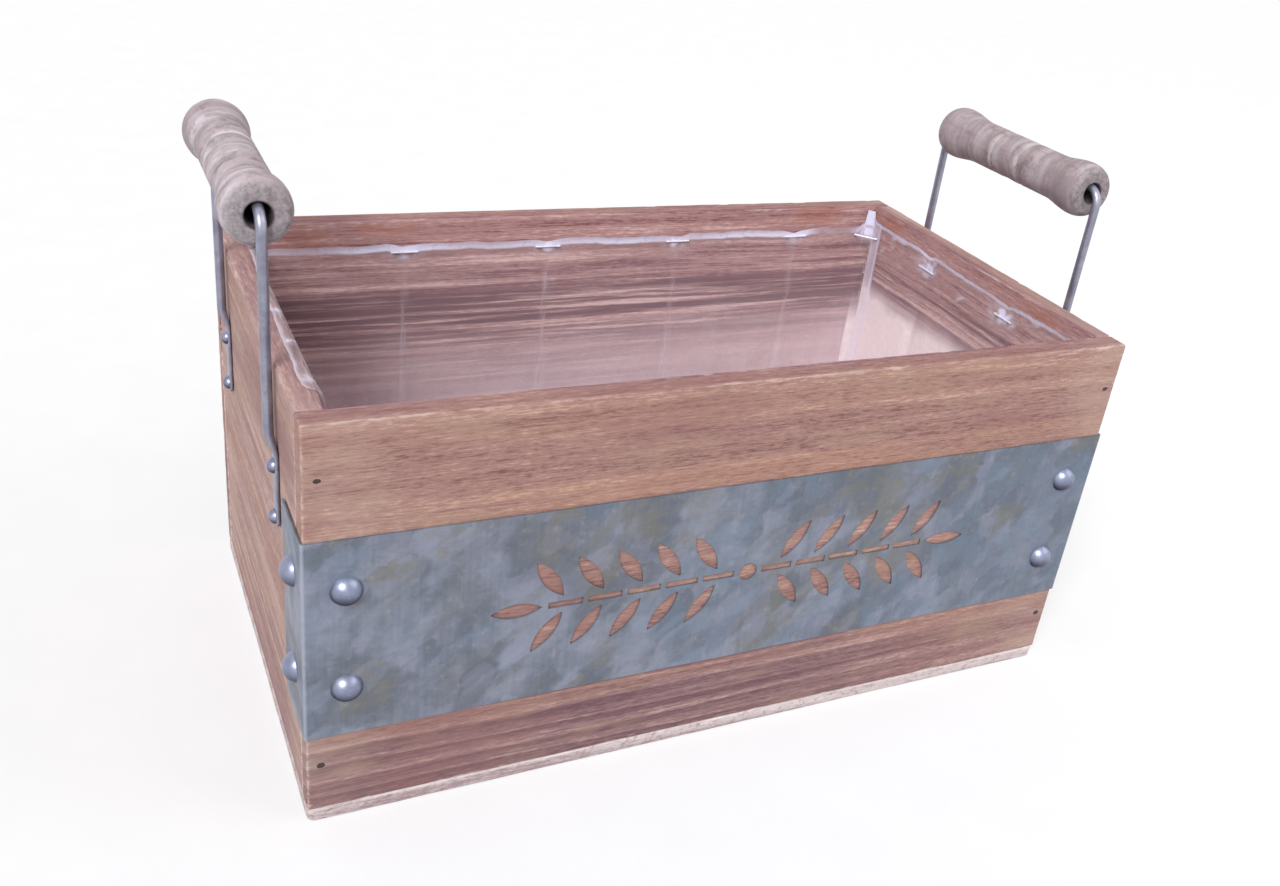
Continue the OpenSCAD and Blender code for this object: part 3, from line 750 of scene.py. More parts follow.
def shape_board(points, low, high, along, seed):
    """Rounds and chips the arrises, lets the grain stand in relief, and says how near each arris is."""
    grain = (0.045, 0.5, 0.5) if along == "x" else (0.5, 0.045, 0.5)
    figure = (0.008, 0.16, 0.16) if along == "x" else (0.16, 0.008, 0.16)
    nearness = []
    for point in points:
        wear = 0.5 + 0.5 * ripple(point, 0.09, 0.09, 0.09, seed)
        chips = ease(ripple(point, 0.16, 0.16, 0.16, seed + 7), 0.25, 0.6)
        round_off = ARRIS_R * (0.65 + 0.6 * wear + 0.9 * chips)
        inner = Vector([min(max(point[a], low[a] + round_off), high[a] - round_off) for a in range(3)])
        out = (point - inner).normalized()
        nearness.append(arris_nearness(point, low, high, WORN_REACH))
        fibres = 0.5 + 0.5 * ripple(point, *grain, seed)
        swell = 0.5 + 0.5 * ripple(point, *figure, seed + 3)
        relief = (0.02 + 0.13 * fibres + 0.12 * swell) * MM
        point.xyz = inner + out * (round_off - relief)
    return nearness


def head_places(nodes):
    """The lowest and highest corner of each separate nail in these CAD nodes, in order of place."""
    places = []
    for node in nodes:
        shape = bmesh.new()
        shape.from_mesh(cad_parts[node].data)
        bmesh.ops.remove_doubles(shape, verts=shape.verts, dist=1e-6)
        left = set(shape.verts)
        while left:
            island, edge = set(), [left.pop()]
            while edge:
                vert = edge.pop()
                island.add(vert)
                fresh = [e.other_vert(vert) for e in vert.link_edges]
                fresh = [v for v in fresh if v in left]
                left.difference_update(fresh)
                edge.extend(fresh)
            low = Vector([min(v.co[a] for v in island) for a in range(3)])
            high = Vector([max(v.co[a] for v in island) for a in range(3)])
            places.append((low, high))
        shape.free()
    return sorted(places, key=lambda place: tuple(place[0]))


HEAD_R = 1.36 * MM
HEAD_DEEP = 1.06 * MM
LIP = 0.17 * MM
LIP_ALONG, LIP_ACROSS = 0.86, 0.58
FLARE = 1.3
OPENING_SIDES = 18


def brad_openings(nodes, axis, side, face_at):
    """Openings over the brads' heads, wide round the head and ragged, narrower and longer at the face."""
    points, faces = [], []
    u, v = (axis + 1) % 3, (axis + 2) % 3
    along = u if u == 0 else v
    for low, high in head_places(nodes):
        middle = (low + high) / 2
        start = len(points)
        levels = ((-HEAD_DEEP, 1.0, 1.0), (-LIP, 1.0, 1.0), (-LIP * 0.8, LIP_ALONG, LIP_ACROSS),
                  (MM, LIP_ALONG * FLARE, LIP_ACROSS * FLARE))
        for level, (depth, wide, narrow) in enumerate(levels):
            for i in range(OPENING_SIDES):
                turn = 2 * math.pi * i / OPENING_SIDES
                swell = waver(math.cos(turn) * 2, math.sin(turn) * 2, middle.x * 90)
                rough = 1 + (0.25 if level > 1 else 0.0) * swell
                point = Vector(middle)
                for direction, share in ((u, math.cos(turn)), (v, math.sin(turn))):
                    size = wide if direction == along else narrow
                    point[direction] += HEAD_R * rough * share * size
                point[axis] = face_at + side * depth
                points.append(point)
        solid = [tuple(start + i for i in reversed(range(OPENING_SIDES)))]
        for level in range(len(levels) - 1):
            for i in range(OPENING_SIDES):
                a = start + level * OPENING_SIDES + i
                b = start + level * OPENING_SIDES + (i + 1) % OPENING_SIDES
                solid.append((a, b, b + OPENING_SIDES, a + OPENING_SIDES))
        last = start + (len(levels) - 1) * OPENING_SIDES
        solid.append(tuple(last + i for i in range(OPENING_SIDES)))
        if side < 0:
            solid = [tuple(reversed(face)) for face in solid]
        faces += solid
    mesh = bpy.data.meshes.new("openings")
    mesh.from_pydata([tuple(point) for point in points], [], faces)
    return put("openings", mesh)


def wall_board(node, name, along, material, seed, brads=(), face=None):
    low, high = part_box(node)
    steps = [ALONG_STEP if "xyz"[a] == along else ACROSS_STEP for a in range(3)]
    steps[1 if along == "x" else 0] = THROUGH_STEP
    lines = [even_lines(low[a], high[a], steps[a], ARRIS_LINES) for a in range(3)]
    points, faces = lattice_skin(lines)
    nearness = shape_board(points, low, high, along, seed)
    piece = add_piece(name, points, faces, material, node)
    set_values(piece, "arris", nearness)
    if brads:
        cut(piece, brad_openings(brads, 1, face, face * BOX_FACE))
    return piece


def add_boards():
    front = board_wood("flamed_front_wood", "x", FRONT, 1.0, FACE_TONES, LOW_TONES,
                       ((104.0, 5.0, 0.8),), ((110.0, 3.5, 0.8), (138.0, 4.0, 0.4), (32.0, 2.0, 0.4)),
                       ((30.0, 141.0, 10.0),))
    back = board_wood("flamed_back_wood", "x", BACK, 2.3, FACE_TONES, LOW_TONES,
                      ((105.0, 5.5, 0.9), (93.5, 1.5, 0.7)), ((90.0, 4.0, 0.6), (135.0, 4.0, 0.6)),
                      ((-122.0, 139.0, 9.0), (-88.0, 142.0, 8.0), (112.0, 141.5, 12.0)))
    left = board_wood("flamed_left_wood", "y", LEFT, 3.1, END_TONES, END_TONES,
                      ((104.0, 7.0, 0.8),), ((70.0, 6.0, 0.35), (135.0, 4.0, 0.3)),
                      ((10.0, 143.0, 22.0),))
    right = board_wood("flamed_right_wood", "y", RIGHT, 5.7, END_TONES, END_TONES,
                       ((110.0, 3.0, 0.7), (120.0, 2.0, 0.6)), ((60.0, 5.0, 0.35), (138.0, 5.0, 0.5)),
                       ((-46.0, 142.0, 7.0), (60.0, 142.0, 6.0)))
    wall_board("front_board", "front_plank", "x", front, 1.0,
               ("front_left_brads", "front_right_brads"), FRONT)
    wall_board("back_board", "back_plank", "x", back, 12.0,
               ("back_left_brads", "back_right_brads"), BACK)
    wall_board("left_end_board", "left_end_plank", "y", left, 23.0)
    wall_board("right_end_board", "right_end_plank", "y", right, 34.0)
    add_bottom()


PLATE_CORNER_R = 3.0 * MM
PLATE_EDGE_R = 0.8 * MM
PLATE_WORN_REACH = 2.0 * MM
PLATE_STEP, PLATE_THROUGH_STEP = 3.0 * MM, 0.9 * MM
PLATE_LINES = [0.0, 0.4 * MM, 0.8 * MM, 1.4 * MM, 2.1 * MM, 3.0 * MM]
PLATE_THROUGH_LINES = [0.0, 0.35 * MM, 0.8 * MM]


def add_bottom():
    """Bottom board with rounded corners in plan and broken edges."""
    low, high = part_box("bottom_board")
    lines = [even_lines(low[a], high[a], PLATE_STEP, PLATE_LINES) for a in range(2)]
    lines.append(even_lines(low.z, high.z, PLATE_THROUGH_STEP, PLATE_THROUGH_LINES))
    points, faces = lattice_skin(lines)
    nearness = []
    for point in points:
        nearness.append(arris_nearness(point, low, high, PLATE_WORN_REACH))
        inner = Vector((min(max(point.x, low.x + PLATE_CORNER_R), high.x - PLATE_CORNER_R),
                        min(max(point.y, low.y + PLATE_CORNER_R), high.y - PLATE_CORNER_R), 0))
        away = Vector((point.x, point.y, 0)) - inner
        reach = max(abs(away.x), abs(away.y))
        edge_r = PLATE_EDGE_R * (0.7 + 0.5 * (0.5 + 0.5 * ripple(point, 0.1, 0.1, 0.1, 50)))
        core = min(reach, PLATE_CORNER_R - edge_r)
        core_z = min(max(point.z, low.z + edge_r), high.z - edge_r)
        lean = Vector((reach - core, point.z - core_z))
        if lean.length > 0:
            lean = lean.normalized() * edge_r
        saw = (0.5 + 0.5 * ripple(point, 0.06, 0.06, 0.9, 61)) * 0.25 * MM
        if reach > 0:
            away = away.normalized() * max(0.0, core + lean.x - saw * min(1, reach / PLATE_CORNER_R))
        point.xyz = (inner.x + away.x, inner.y + away.y, core_z + lean.y)
    piece = add_piece("bottom_plank", points, faces, bottom_wood(), "bottom_board")
    set_values(piece, "arris", nearness)
    cut(piece, brad_openings(["bottom_brads"], 2, -1, low.z))


# Metal band
SHEET_T = 0.6 * MM
BEND_R = 0.4 * MM
LIFT = 0.32 * MM
BERRY_R = 3.5
BRIDGE = 2.0
STEM_W = 2.4
LEAF_L, LEAF_W = 17.5, 5.5
LEAF_PITCH = 14.0
LEAF_PAIRS = 5
LEAF_TURN = math.radians(55)
PINNED = 9.0 * MM
SHEET_STEP = 2.0 * MM


def band_point(run, out, height, lift):
    """Place on the band: run along the sheet from the middle of the front, out from its inner face."""
    flat = BOX_END - BEND_R
    sign = 1 if run >= 0 else -1
    far = abs(run) - flat
    arc = BEND_R * math.pi / 2
    if far <= 0:
        return Vector((run, -BOX_FACE - out - lift, height))
    if far < arc:
        turn = far / BEND_R
        reach = BEND_R + out
        return Vector((sign * (flat + reach * math.sin(turn)),
                       -BOX_FACE + BEND_R - reach * math.cos(turn), height))
    return Vector((sign * (BOX_END + out + lift), -BOX_FACE + BEND_R + far - arc, height))


def leaf_outline(count=12):
    """A leaf with pointed ends, from the origin along X, in millimetres."""
    radius = (LEAF_L ** 2 + LEAF_W ** 2) / (4 * LEAF_W)
    half = math.asin(LEAF_L / 2 / radius)
    centre = Vector((LEAF_L / 2, LEAF_W / 2 - radius))
    upper = []
    for i in range(count + 1):
        turn = half * (1 - 2 * i / count)
        upper.append(centre + radius * Vector((math.sin(turn), math.cos(turn))))
    return upper + [Vector((point.x, -point.y)) for point in reversed(upper[1:-1])]


def sprig_outlines():
    """Outlines of the leafy sprig's cut-outs, in millimetres from the middle of the band."""
    outlines = [[Vector((BERRY_R * math.cos(a * math.pi / 20), BERRY_R * math.sin(a * math.pi / 20)))
                 for a in range(40)]]
    start = BERRY_R + BRIDGE
    leaf = leaf_outline()
    half = [[Vector((point.x + start + LEAF_PAIRS * LEAF_PITCH, point.y)) for point in leaf]]
    for i in range(LEAF_PAIRS):
        x = start + i * LEAF_PITCH
        end = x + LEAF_PITCH - BRIDGE
        half.append([Vector((x, -STEM_W / 2)), Vector((end, -STEM_W / 2)),
                     Vector((end, STEM_W / 2)), Vector((x, STEM_W / 2))])
        for up in (-1, 1):
            turn = Matrix.Rotation(up * LEAF_TURN, 2)
            base = Vector((x + LEAF_PITCH / 2, up * (STEM_W / 2 + BRIDGE)))
            half.append([turn @ point + base for point in leaf])
    for side in (LEFT, RIGHT):
        outlines += [[Vector((side * point.x, point.y)) for point in outline] for outline in half]
    return outlines


def sprig_cutter(middle):
    """The cut-outs as solid plugs that run through the front of the band."""
    shape = bmesh.new()
    deep = 3 * MM
    for outline in sprig_outlines():
        back = [(point.x * MM, -BOX_FACE + deep, middle + point.y * MM) for point in outline]
        face = shape.faces.new([shape.verts.new(place) for place in back])
        grown = bmesh.ops.extrude_face_region(shape, geom=[face])
        fresh = [item for item in grown["geom"] if isinstance(item, bmesh.types.BMVert)]
        bmesh.ops.translate(shape, verts=fresh, vec=(0, -2 * deep, 0))
    bmesh.ops.recalc_face_normals(shape, faces=shape.faces)
    mesh = bpy.data.meshes.new("cutter")
    shape.to_mesh(mesh)
    shape.free()
    return put("cutter", mesh)


def nail_marks():
    """Run along the band and height of each dome nail."""
    marks = []
    for low, high in head_places(("front_left_domes", "front_right_domes")):
        marks.append(((low.x + high.x) / 2, (low.z + high.z) / 2))
    for low, high in head_places(("left_side_domes", "right_side_domes")):
        middle = (low + high) / 2
        side = 1 if middle.x > 0 else -1
        marks.append((side * (BOX_END + middle.y + BOX_FACE), middle.z))
    return marks


def add_band():
    """Sheet bent round both front corners, a little wavy between its nails, with the sprig cut out."""
    arc = BEND_R * math.pi / 2
    flat = BOX_END - BEND_R
    wrap = flat + arc + (band_high.y + BOX_FACE - BEND_R)
    front = even_lines(-flat, flat, SHEET_STEP)
    corner = [flat + arc * i / 4 for i in range(1, 5)]
    side = even_lines(flat + arc, wrap, SHEET_STEP)[1:]
    runs = [-run for run in reversed(corner + side)] + front + corner + side
    lines = [runs, [0.0, SHEET_T], even_lines(band_low.z, band_high.z, SHEET_STEP)]
    points, faces = lattice_skin(lines)
    marks = nail_marks()
    for point in points:
        run, out, height = point
        pinned = ease(abs(abs(run) - flat), 2 * MM, 16 * MM)
        for mark_run, mark_height in marks:
            away = math.hypot(run - mark_run, height - mark_height)
            pinned *= ease(away, 5 * MM, 5 * MM + PINNED)
        wave = waver(run * 28 + height * 24, height * 30 - run * 18, 4.0)
        lift = LIFT * pinned * max(0.0, 0.35 + 0.9 * wave)
        point.xyz = band_point(run, out, height, min(lift, LIFT))
    faces = [list(reversed(face)) for face in faces]
    piece = add_piece("cut_out_sheet_band", points, faces, galvanised_sheet(),
                      "metal_band")
    cut(piece, sprig_cutter((band_low.z + band_high.z) / 2))


# Handles
WIRE_R = 1.6
WIRE_OFF = 2.4
LEG_Y = 47.5
WIRE_TOP = RIM / MM + 47
WIRE_BEND = 6.0
BLADE_FOOT = RIM / MM - 54
BLADE_L, TAPER_L = 26, 7
BLADE_TOP = BLADE_FOOT + BLADE_L
ROUND_AT = BLADE_TOP + TAPER_L
BLADE_HALF_W, BLADE_HALF_T = 2.8, 0.65
WIRE_SIDES = 28
TIP_RISES = [0.02, 0.12, 0.35, 0.7, 1.2, 1.9, BLADE_HALF_W]
BEND_RINGS = 12


def wire_section(centre, wide, thin, half_w, half_t, power):
    """One ring of the wire: a circle at power 2, squarer above that."""
    ring = []
    for i in range(WIRE_SIDES):
        turn = 2 * math.pi * i / WIRE_SIDES
        c, s = math.cos(turn), math.sin(turn)
        across = half_w * math.copysign(abs(c) ** (2 / power), c)
        through = half_t * math.copysign(abs(s) ** (2 / power), s)
        ring.append(centre + wide * across + thin * through)
    return ring


def leg_rings(side):
    """Rings of one leg on the +Y side, from the blade's tip up to the start of the bend."""
    rings = []
    out = Vector((side, 0, 0))
    rises = TIP_RISES + [BLADE_HALF_W + 1.6 * i for i in range(1, 15)]
    rises += [BLADE_L + 0.7 * i for i in range(11)]
    rises += [BLADE_L + TAPER_L + 1 + 3.0 * i for i in range(21)]
    for rise in rises:
        z = BLADE_FOOT + rise
        to_round = max(0.0, (BLADE_HALF_W - rise) / BLADE_HALF_W)
        tip = math.sqrt(1 - to_round ** 2)
        flat = 1 - ease(z, BLADE_TOP - 1, ROUND_AT)
        half_w = tip * (BLADE_HALF_W * flat + WIRE_R * (1 - flat))
        thin_tip = 0.6 + 0.4 * tip
        half_t = thin_tip * BLADE_HALF_T * flat + WIRE_R * (1 - flat)
        middle = BOX_END / MM + BLADE_HALF_T * flat + WIRE_OFF * (1 - flat)
        hammered = 0.06 * flat * waver(z * 0.4, side * 3.0, 1.0)
        centre = Vector((side * middle, LEG_Y, z))
        rings.append(wire_section(centre * MM, Vector((0, 1, 0)), out, (half_w + hammered) * MM,
                                  half_t * MM, 2 + 3 * flat))
    return rings


def handle_rings(side):
    """All rings of a handle: up one leg, over the top and down the other leg."""
    leg = leg_rings(side)
    out = Vector((side, 0, 0))
    x = side * (BOX_END / MM + WIRE_OFF)
    pivot = Vector((x, LEG_Y - WIRE_BEND, WIRE_TOP - WIRE_BEND))
    bend = []
    for i in range(BEND_RINGS + 1):
        turn = math.pi / 2 * i / BEND_RINGS
        wide = Vector((0, math.cos(turn), math.sin(turn)))
        centre = pivot + WIRE_BEND * wide
        bend.append(wire_section(centre * MM, wide, out, WIRE_R * MM, WIRE_R * MM, 2))
    top_run = even_lines(0, LEG_Y - WIRE_BEND, 4.0)[:-1]
    up = Vector((0, 0, 1))
    top = [wire_section(Vector((x, y, WIRE_TOP)) * MM, up, out, WIRE_R * MM, WIRE_R * MM, 2)
           for y in reversed(top_run)]
    half = leg + bend + top
    mirrored = [[Vector((p.x, -p.y, p.z)) for p in ring] for ring in reversed(half[:-1])]
    return half + mirrored


def skin_rings(rings):
    """Points and faces of a closed tube through these rings."""
    sides = len(rings[0])
    points = [point for ring in rings for point in ring]
    faces = []
    for k in range(len(rings) - 1):
        for i in range(sides):
            a, b = k * sides + i, k * sides + (i + 1) % sides
            faces.append((a, b, b + sides, a + sides))
    last = (len(rings) - 1) * sides
    faces.append(tuple(reversed(range(sides))))
    faces.append(tuple(last + i for i in range(sides)))
    return points, faces


def add_handles():
    # The wire gets half the painted shade on its underside.
    wire = zinc_finish("drawn_zinc_wire", (0.8, 0.8, 0.08), paint(168, 170, 186), paint(134, 134, 152),
                       paint(88, 82, 96), 0.35, 0.75, 0.05, darkening=0.5)
    for side, name in ((LEFT, "left"), (RIGHT, "right")):
        points, faces = skin_rings(handle_rings(side))
        piece = add_piece(name + "_bent_wire", points, faces, wire, name + "_handle_wire")
        shape = bmesh.new()
        shape.from_mesh(piece.data)
        bmesh.ops.recalc_face_normals(shape, faces=shape.faces)
        shape.to_mesh(piece.data)
        shape.free()
        smooth(piece, 50)


# Grips
GRIP_HALF = 44.0
GRIP_R, WAIST_R, FACE_R, BORE_R = 10.5, 8.75, 7.5, 3.85
grip_low, grip_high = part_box("right_grip")
GRIP_X, GRIP_Z = (grip_low.x + grip_high.x) / 2 / MM, (grip_low.z + grip_high.z) / 2 / MM
KNOB, CREST = 21.0, 6.0
GROOVE_OFF, GROOVE_W, GROOVE_DEEP = 8.0, 2.6, 0.5
GRIP_SIDES = 96


def grip_radius(along):
    """Radius of a grip at a distance from its middle, in millimetres."""
    from_end = GRIP_HALF - abs(along)
    if from_end < CREST:
        knob = 1.0
    elif from_end > KNOB:
        knob = 0.0
    else:
        knob = (1 + math.cos(math.pi * (from_end - CREST) / (KNOB - CREST))) / 2
    radius = WAIST_R + (GRIP_R - WAIST_R) * knob
    groove = abs(abs(along) - GROOVE_OFF)
    if groove < GROOVE_W / 2:
        radius -= GROOVE_DEEP * math.cos(math.pi * groove / GROOVE_W) ** 2
    if from_end < CREST:
        drawn_in = (CREST - from_end) / CREST
        radius = FACE_R + (GRIP_R - FACE_R) * math.sqrt(max(0.0, 1 - drawn_in ** 2))
    return radius


def add_grip(name, body, seed, greyed):
    """Turned grip with fine tool rings, a rounded bore and a few knocks."""
    low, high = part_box(body)
    axis = Vector(((low.x + high.x) / 2, 0, (low.z + high.z) / 2))
    round_ends = [GRIP_HALF - CREST * (1 - math.cos(math.pi / 2 * i / 10)) for i in range(10)]
    body_run = even_lines(-(GRIP_HALF - CREST), GRIP_HALF - CREST, 0.65)
    lip = [(BORE_R, GRIP_HALF - 0.5), (BORE_R + 0.15, GRIP_HALF - 0.15), (BORE_R + 0.5, GRIP_HALF)]
    profile = [(radius, -y) for radius, y in lip]
    profile += [(grip_radius(-y) if y < GRIP_HALF else FACE_R, -y) for y in round_ends]
    profile += [(grip_radius(y), y) for y in body_run]
    profile += [(grip_radius(y) if y < GRIP_HALF else FACE_R, y) for y in reversed(round_ends)]
    profile += reversed(lip)
    profile += [(BORE_R, y) for y in reversed(even_lines(-GRIP_HALF + 0.5, GRIP_HALF - 0.5, 6.0)[1:-1])]
    points, faces = [], []
    for radius, y in profile:
        for i in range(GRIP_SIDES):
            turn = 2 * math.pi * i / GRIP_SIDES
            r = radius
            if radius > BORE_R + 0.6:
                c, s = math.cos(turn), math.sin(turn)
                rings = waver(y * 1.1, seed, 0.3 * c)
                knocks = ease(waver(c * 1.6, y * 0.12 + seed, s * 1.6), 0.35, 0.7)
                r -= 0.05 + 0.05 * rings + 0.3 * knocks
            points.append(axis + Vector((math.cos(turn) * r, y, math.sin(turn) * r)) * MM)
    count = len(profile)
    for k in range(count):
        for i in range(GRIP_SIDES):
            a, b = k * GRIP_SIDES + i, k * GRIP_SIDES + (i + 1) % GRIP_SIDES
            c = ((k + 1) % count) * GRIP_SIDES + (i + 1) % GRIP_SIDES
            d = ((k + 1) % count) * GRIP_SIDES + i
            faces.append((a, d, c, b))
    add_piece(name, points, faces, grip_wood(name + "_wood", seed, greyed),
              body, body)


# Film liner
FILM_GAP = 0.5
FILM_R = 3.5
FILM_FOOT = 5.55
FILM_FOOT_R = 3.0
FILM_STEP = 2.6
CORNER_STEPS = 6
PLEAT = 9.5
PLEAT_IN = 3.8
PLEAT_STEP = 1.4
FOLD_STEP = 0.28
EDGE_DROPS = [0.0, 0.5, 1.1, 1.8, 2.6, 3.4, 4.2, 5.0, 6.0, 7.2, 8.6, 10.4, 13.0, 16.0]
STAPLE_STEPS = (-4.0, -3.0, -2.2, -1.5, -0.8, 0.0, 0.8, 1.5, 2.2, 3.0, 4.0)
STAPLE_HEIGHT = 132.0
DROP_STEP = 3.6
FOOT_RISES = (3.6, 2.6, 1.6, 0.8, 0.25, 0.0)
FLOOR_RINGS = 14


class Fold:
    """One upright line of the film: its foot on the wall, which way is inward, and where it lies."""

    def __init__(self, wall, along, layer, corner_gap, foot, inward):
        self.wall, self.along, self.layer = wall, along, layer
        self.corner_gap, self.foot, self.inward = corner_gap, foot, inward


def straight_columns(half, step, marks):
    """Distances along a wall from its middle, closer together at the marks."""
    places = even_lines(-half + FILM_R, half - FILM_R, step)
    for mark in marks:
        places = [p for p in places if abs(p - mark) > STAPLE_STEPS[-1] + 0.5]
        places += [mark + d for d in STAPLE_STEPS]
    return sorted(places)


def wall_marks():
    """Where each wall has a staple, along that wall, from the CAD staples."""
    marks = {"front": [], "back": [], "left": [], "right": []}
    for wall in marks:
        for low, high in head_places((wall + "_staples",)):
            middle, size = (low + high) / 2 / MM, high - low
            across_corner = min(size.x, size.y) > 0.85 * max(size.x, size.y)
            if not across_corner:
                marks[wall].append(middle.x if wall in ("front", "back") else middle.y)
    return {wall: sorted(places) for wall, places in marks.items()}


def film_loop(marks):
    """The film's upright lines, once round the box, with a flat pleat on each end wall by each corner."""
    half_x, half_y = INNER_X / MM - FILM_GAP, INNER_Y / MM - FILM_GAP
    loop = []

    def corner(centre, start):
        for i in range(1, CORNER_STEPS):
            turn = start + math.pi / 2 * i / CORNER_STEPS
            way = Vector((math.cos(turn), math.sin(turn)))
            loop.append(Fold("corner", 0.0, 0, 0.0, centre + way * FILM_R, -way))

    def long_wall(wall, y, sign):
        inward = Vector((0, -y)).normalized()
        for run in straight_columns(half_x, FILM_STEP, [sign * m for m in marks[wall]]):
            x = sign * run
            loop.append(Fold(wall, x, 0, half_x - abs(x), Vector((x, y)), inward))

    def end_wall(wall, x, sign):
        inward = Vector((-x, 0)).normalized()
        start, stop = -half_y + PLEAT_IN, -half_y + PLEAT
        pleat = even_lines(start, stop, PLEAT_STEP)
        run = [(y, 0) for y in pleat] + [(y, 1) for y in reversed(pleat)] + [(y, 2) for y in pleat]
        middle = [(y, 2) for y in straight_columns(half_y, FILM_STEP, [sign * m for m in marks[wall]])
                  if abs(y) < half_y - PLEAT - 1.0]
        far = [(-y, layer) for y, layer in reversed(run)]
        for y, layer in run + middle + far:
            loop.append(Fold(wall, sign * y, layer, half_y - abs(y), Vector((x, sign * y)), inward))

    edge_x, edge_y = half_x - FILM_R, half_y - FILM_R
    long_wall("front", -half_y, 1)
    corner(Vector((edge_x, -edge_y)), -math.pi / 2)
    end_wall("right", half_x, 1)
    corner(Vector((edge_x, edge_y)), 0)
    long_wall("back", half_y, -1)
    corner(Vector((-edge_x, edge_y)), math.pi / 2)
    end_wall("left", -half_x, -1)
    corner(Vector((-edge_x, -edge_y)), math.pi)
    return loop


EDGE_HEIGHT = {"front": 136.0, "back": 135.4, "left": 138.0, "right": 139.6, "corner": 136.0}
EDGE_WIDTH = {"front": 2.4, "back": 2.9, "left": 0.7, "right": 1.4, "corner": 2.4}
BULGE = {"front": 1.6, "back": 0.9, "left": 1.2, "right": 1.8, "corner": 0.0}
TIP_TOP = {(1, 1): 143.6, (1, -1): 139.0, (-1, 1): 138.0, (-1, -1): 139.0}
LAP_FROM, LAP_TO = -62.0, 47.0
LAP_EDGE = 149.2
LAP_BEND_R = 1.2
LAP_START = RIM / MM - 0.8
LAP_CREASES = (-57.0, -31.0, -7.0, 22.0)
STAPLE_DIP, DIP_REACH = 1.7, 5.0
HELD_ALONG, HELD_UP = 7.0, 16.0
EDGE_CURL, CURL_DROP = 0.5, 1.4
LEAST_OVER_STAPLE = 1.2


def staple_gap(fold, marks):
    """Distance along the wall to the nearest staple."""
    return min((abs(fold.along - mark) for mark in marks.get(fold.wall, [])), default=99.0)


def lapped(fold):
    """How far this line of the film is drawn over the left end board's rim, from 0 to 1."""
    if fold.wall != "left":
        return 0.0
    return ease(fold.along, LAP_FROM - 8, LAP_FROM) * ease(fold.along, LAP_TO + 10, LAP_TO)


def edge_height(fold, marks):
    """Height of the film's top edge on this line: wavy, pulled down at the staples, up at the corners."""
    spot = fold.foot
    height = EDGE_HEIGHT[fold.wall]
    wavy = 0.9 * waver(spot.x * 0.045, spot.y * 0.045, 2.0)
    wavy += 0.45 * waver(spot.x * 0.25, spot.y * 0.25, 5.0)
    height -= STAPLE_DIP * hump(staple_gap(fold, marks), DIP_REACH)
    sides = (1 if spot.x > 0 else -1, 1 if spot.y > 0 else -1)
    height += (TIP_TOP[sides] - height) * max(0.0, 1 - fold.corner_gap / 9.0) ** 2.2
    lap_edge = LAP_EDGE - 2.2 * ease(fold.along, -15, LAP_TO)
    height += (lap_edge - height) * lapped(fold)
    return max(height + wavy, STAPLE_HEIGHT + LEAST_OVER_STAPLE)


def over_rim(height):
    """How far out and how high a point is on film that runs up the wall and bends over its rim."""
    bent = height - LAP_START
    if bent <= 0:
        return 0.0, height
    turn = min(bent / LAP_BEND_R, math.pi / 2)
    flat = max(0.0, bent - LAP_BEND_R * math.pi / 2)
    return LAP_BEND_R * (1 - math.cos(turn)) + flat, LAP_START + LAP_BEND_R * math.sin(turn)


def film_point(fold, drop, height, marks):
    """Place of one point of the film, from its height along the wall."""
    layer_in = FOLD_STEP * fold.layer
    if fold.wall in ("left", "right") and fold.layer == 2:
        layer_in *= 1 - ease(fold.corner_gap, PLEAT, PLEAT + 12)
    free = ease(fold.corner_gap, PLEAT, PLEAT + 16)
    bulge = BULGE[fold.wall] * free
    swell = 0.5 + 0.5 * waver(fold.along * 0.05 + 9 * len(fold.wall), height * 0.02, 1.0)
    fine = 0.5 + 0.5 * waver(fold.along * 0.2, height * 0.05, 6.0)
    near = staple_gap(fold, marks)
    held = 1 - hump(near, HELD_ALONG) * hump(height - STAPLE_HEIGHT, HELD_UP)
    held *= 1 - lapped(fold) * ease(height, LAP_START - 9, LAP_START)
    upright = 1 - 0.35 * hump(near, 3.0)
    low = ease(height, FILM_FOOT, FILM_FOOT + 30)
    inward = layer_in + held * upright * low * bulge * (0.25 + 0.75 * swell)
    inward += held * upright * low * 0.35 * fine * ease(fold.corner_gap, 2, PLEAT)
    if drop < CURL_DROP and fold.wall != "corner":
        inward += held * EDGE_CURL * (1 - drop / CURL_DROP)
    out, z = over_rim(height) if fold.wall == "left" else (0.0, height)
    if out > LAP_BEND_R:
        z += 0.5 * fine * ease(drop, 0.0, 2.0) + 0.15 * (1 - ease(drop, 0.0, 2.0))
    if z < FILM_FOOT + FILM_FOOT_R:
        above = FILM_FOOT_R - (z - FILM_FOOT)
        inward += FILM_FOOT_R - math.sqrt(max(0.0, FILM_FOOT_R ** 2 - above ** 2))
    spot = fold.foot + fold.inward * (inward - out)
    return Vector((spot.x, spot.y, z))


HAZE_TOP = {"back": 108.0, "front": 106.0, "left": 106.0, "right": 115.0, "corner": 106.0}
HAZE_FULL = {"back": 66.0, "front": 68.0, "left": 76.0, "right": 100.0, "corner": 84.0}
# The right wall's full level is partly painted glare.
HAZE_MOST = {"back": 0.52, "front": 0.5, "left": 0.55, "right": 1.0, "corner": 0.76}
FAINT_HAZE = 0.12
BAG_FLOOR_HAZE = 0.45
KNOT_ABOVE, KNOT_TALL = 1.0, 3.6
KNOT_WIDE, LOOSE_KNOT_WIDE = 4.6, 6.2
CREASE_WIDE, LAP_CREASE_WIDE = 1.5, 1.6
PINNED_ABOVE, PINNED_WIDE, PINNED_TALL = 0.8, 6.0, 2.8


